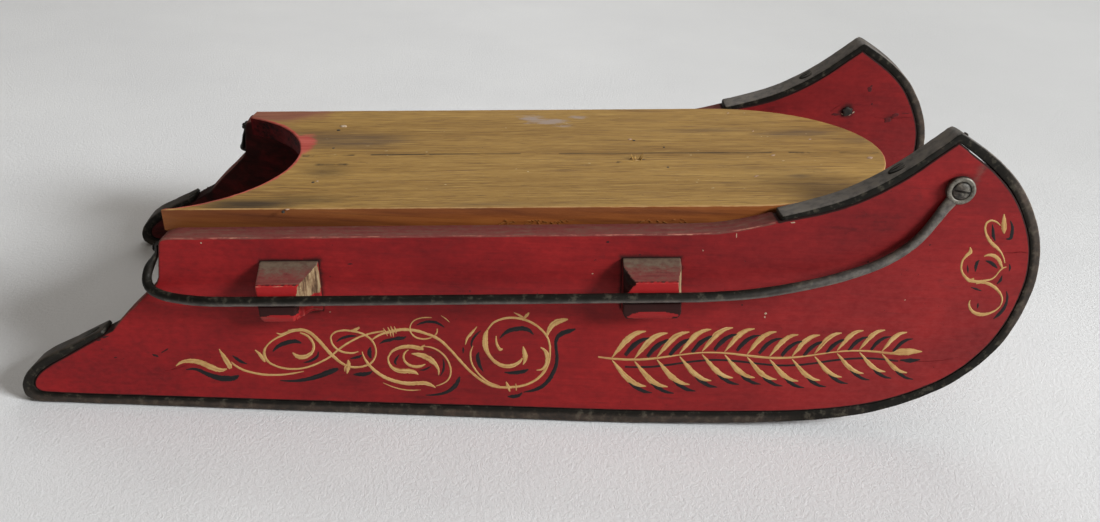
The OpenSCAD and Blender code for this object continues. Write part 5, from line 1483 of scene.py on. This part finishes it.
def build_paint(k):
    side = "left" if k else "right"
    sc, sb = sprig()
    for label, strokes, mt, lift in (("shade", BLACK_STROKES + sb, BLACK, 0.05), ("scroll", CREAM_STROKES + sc, CREAM, 0.12)):
        V, F, UV, thin, n0 = [], [], [], [], 0
        for i, st in enumerate(strokes):
            c = along(st, 6)
            t = unit(tangents(c[:, :2]))
            nrm = np.stack([-t[:, 1], t[:, 0]], -1)
            rough = np.array([nz(j * 0.8, i * 1.3, 0.5) for j in range(len(c))])
            rough2 = np.array([nz(j * 0.8, i * 1.3, 4.5) for j in range(len(c))])
            L = c[:, :2] + nrm * (c[:, 2] * (1 + 0.22 * rough))[:, None]
            R = c[:, :2] - nrm * (c[:, 2] * (1 + 0.22 * rough2))[:, None]
            a, b, mid = on_runner(L), on_runner(R), on_runner(c[:, :2])
            m = len(c)
            ln = np.concatenate([[0], np.cumsum(np.linalg.norm(np.diff(mid, axis=0), axis=1))])
            h = lift + 0.0012 * i
            for q, hh, vv in ((a, 0.0, 0.0), (a * 0.7 + mid * 0.3, h, 0.15), (mid, h + 0.03, 0.5), (b * 0.7 + mid * 0.3, h, 0.85), (b, 0.0, 1.0)):
                V.append(rs(q[:, 0], q[:, 1], hh, k))
                UV.append(np.column_stack([ln * MM + i * 0.37, np.full(m, vv + i * 1.9)]))
                e = np.minimum(np.arange(m), np.arange(m)[::-1]) / 4.0
                base = 0.46 if c[:, 2].max() < 1.3 else 0.3
                thin.append(base + 0.3 * np.exp(-e) + (0.12 if vv in (0.0, 1.0) else 0) + 0.12 * rough)
            for r in range(4):
                for j in range(m - 1):
                    p = n0 + r * m + j
                    q4 = [p, p + m, p + m + 1, p + 1]
                    F.append(q4)
            n0 += 5 * m
        # one way round for every stroke
        V = np.concatenate(V)
        want = rs(0, 0, 10, k) - rs(0, 0, 0, k)
        F2 = []
        for q in F:
            nn = np.cross(V[q[1]] - V[q[0]], V[q[2]] - V[q[0]])
            F2.append(q if nn @ want > 0 else q[::-1])
        piece(side + "_" + label + "_paint", V, F2, mt, dict(thin=np.concatenate(thin)), 60, None, "red_painted_wood", uv=np.concatenate(UV))

for k in (0, 1):
    build_runner(k)
    build_shoe(k)
    build_rod(k)
    build_paint(k)
build_deck()
for name, bx in BEAMS:
    build_beam(name, bx)

# ================================================================ light and stage
scene.view_settings.view_transform = "Standard"
scene.view_settings.look = "None"
world = bpy.data.worlds.new("room")
scene.world = world
world.use_nodes = True
bg = world.node_tree.nodes["Background"]
bg.inputs[0].default_value = (1.0, 0.92, 0.79, 1)
bg.inputs[1].default_value = 0.135

def area(name, at, to, size, power, colour=(1, 1, 1), size_y=None):
    d = bpy.data.lights.new(name, "AREA")
    d.shape = "RECTANGLE"
    d.size, d.size_y = size, size_y or size
    d.energy = power
    d.color = colour
    o = bpy.data.objects.new(name, d)
    scene.collection.objects.link(o)
    o.location = at
    o.rotation_euler = (Vector(to) - Vector(at)).to_track_quat("-Z", "Y").to_euler()
    return o

area("key", (6.6, -3.4, 3.95), (-0.3, -0.1, 0.1), 2.6, 920, (0.96, 0.986, 1.0), 2.2)
area("top", (-0.2, 0.0, 2.3), (-0.2, -0.3, 0), 1.9, 5, (1, 0.965, 0.92))
area("back", (0.35, 2.3, 2.5), (0.3, 1.1, 0), 3.0, 23, (1, 0.99, 0.97), 1.6).visible_camera = False

def floor():
    prof = [(y, 0.0) for y in np.linspace(-14, 14, 15)]
    xs = np.linspace(-14, 14, 15)
    v = [(x, y, z) for y, z in prof for x in xs]
    n = len(xs)
    f = [(r * n + c, r * n + c + 1, (r + 1) * n + c + 1, (r + 1) * n + c)
         for r in range(len(prof) - 1) for c in range(n - 1)]
    me = bpy.data.meshes.new("floor")
    me.from_pydata(v, [], f)
    for p in me.polygons:
        p.use_smooth = True
    o = bpy.data.objects.new("floor", me)
    scene.collection.objects.link(o)
    me.materials.append(CLOTH)
floor()
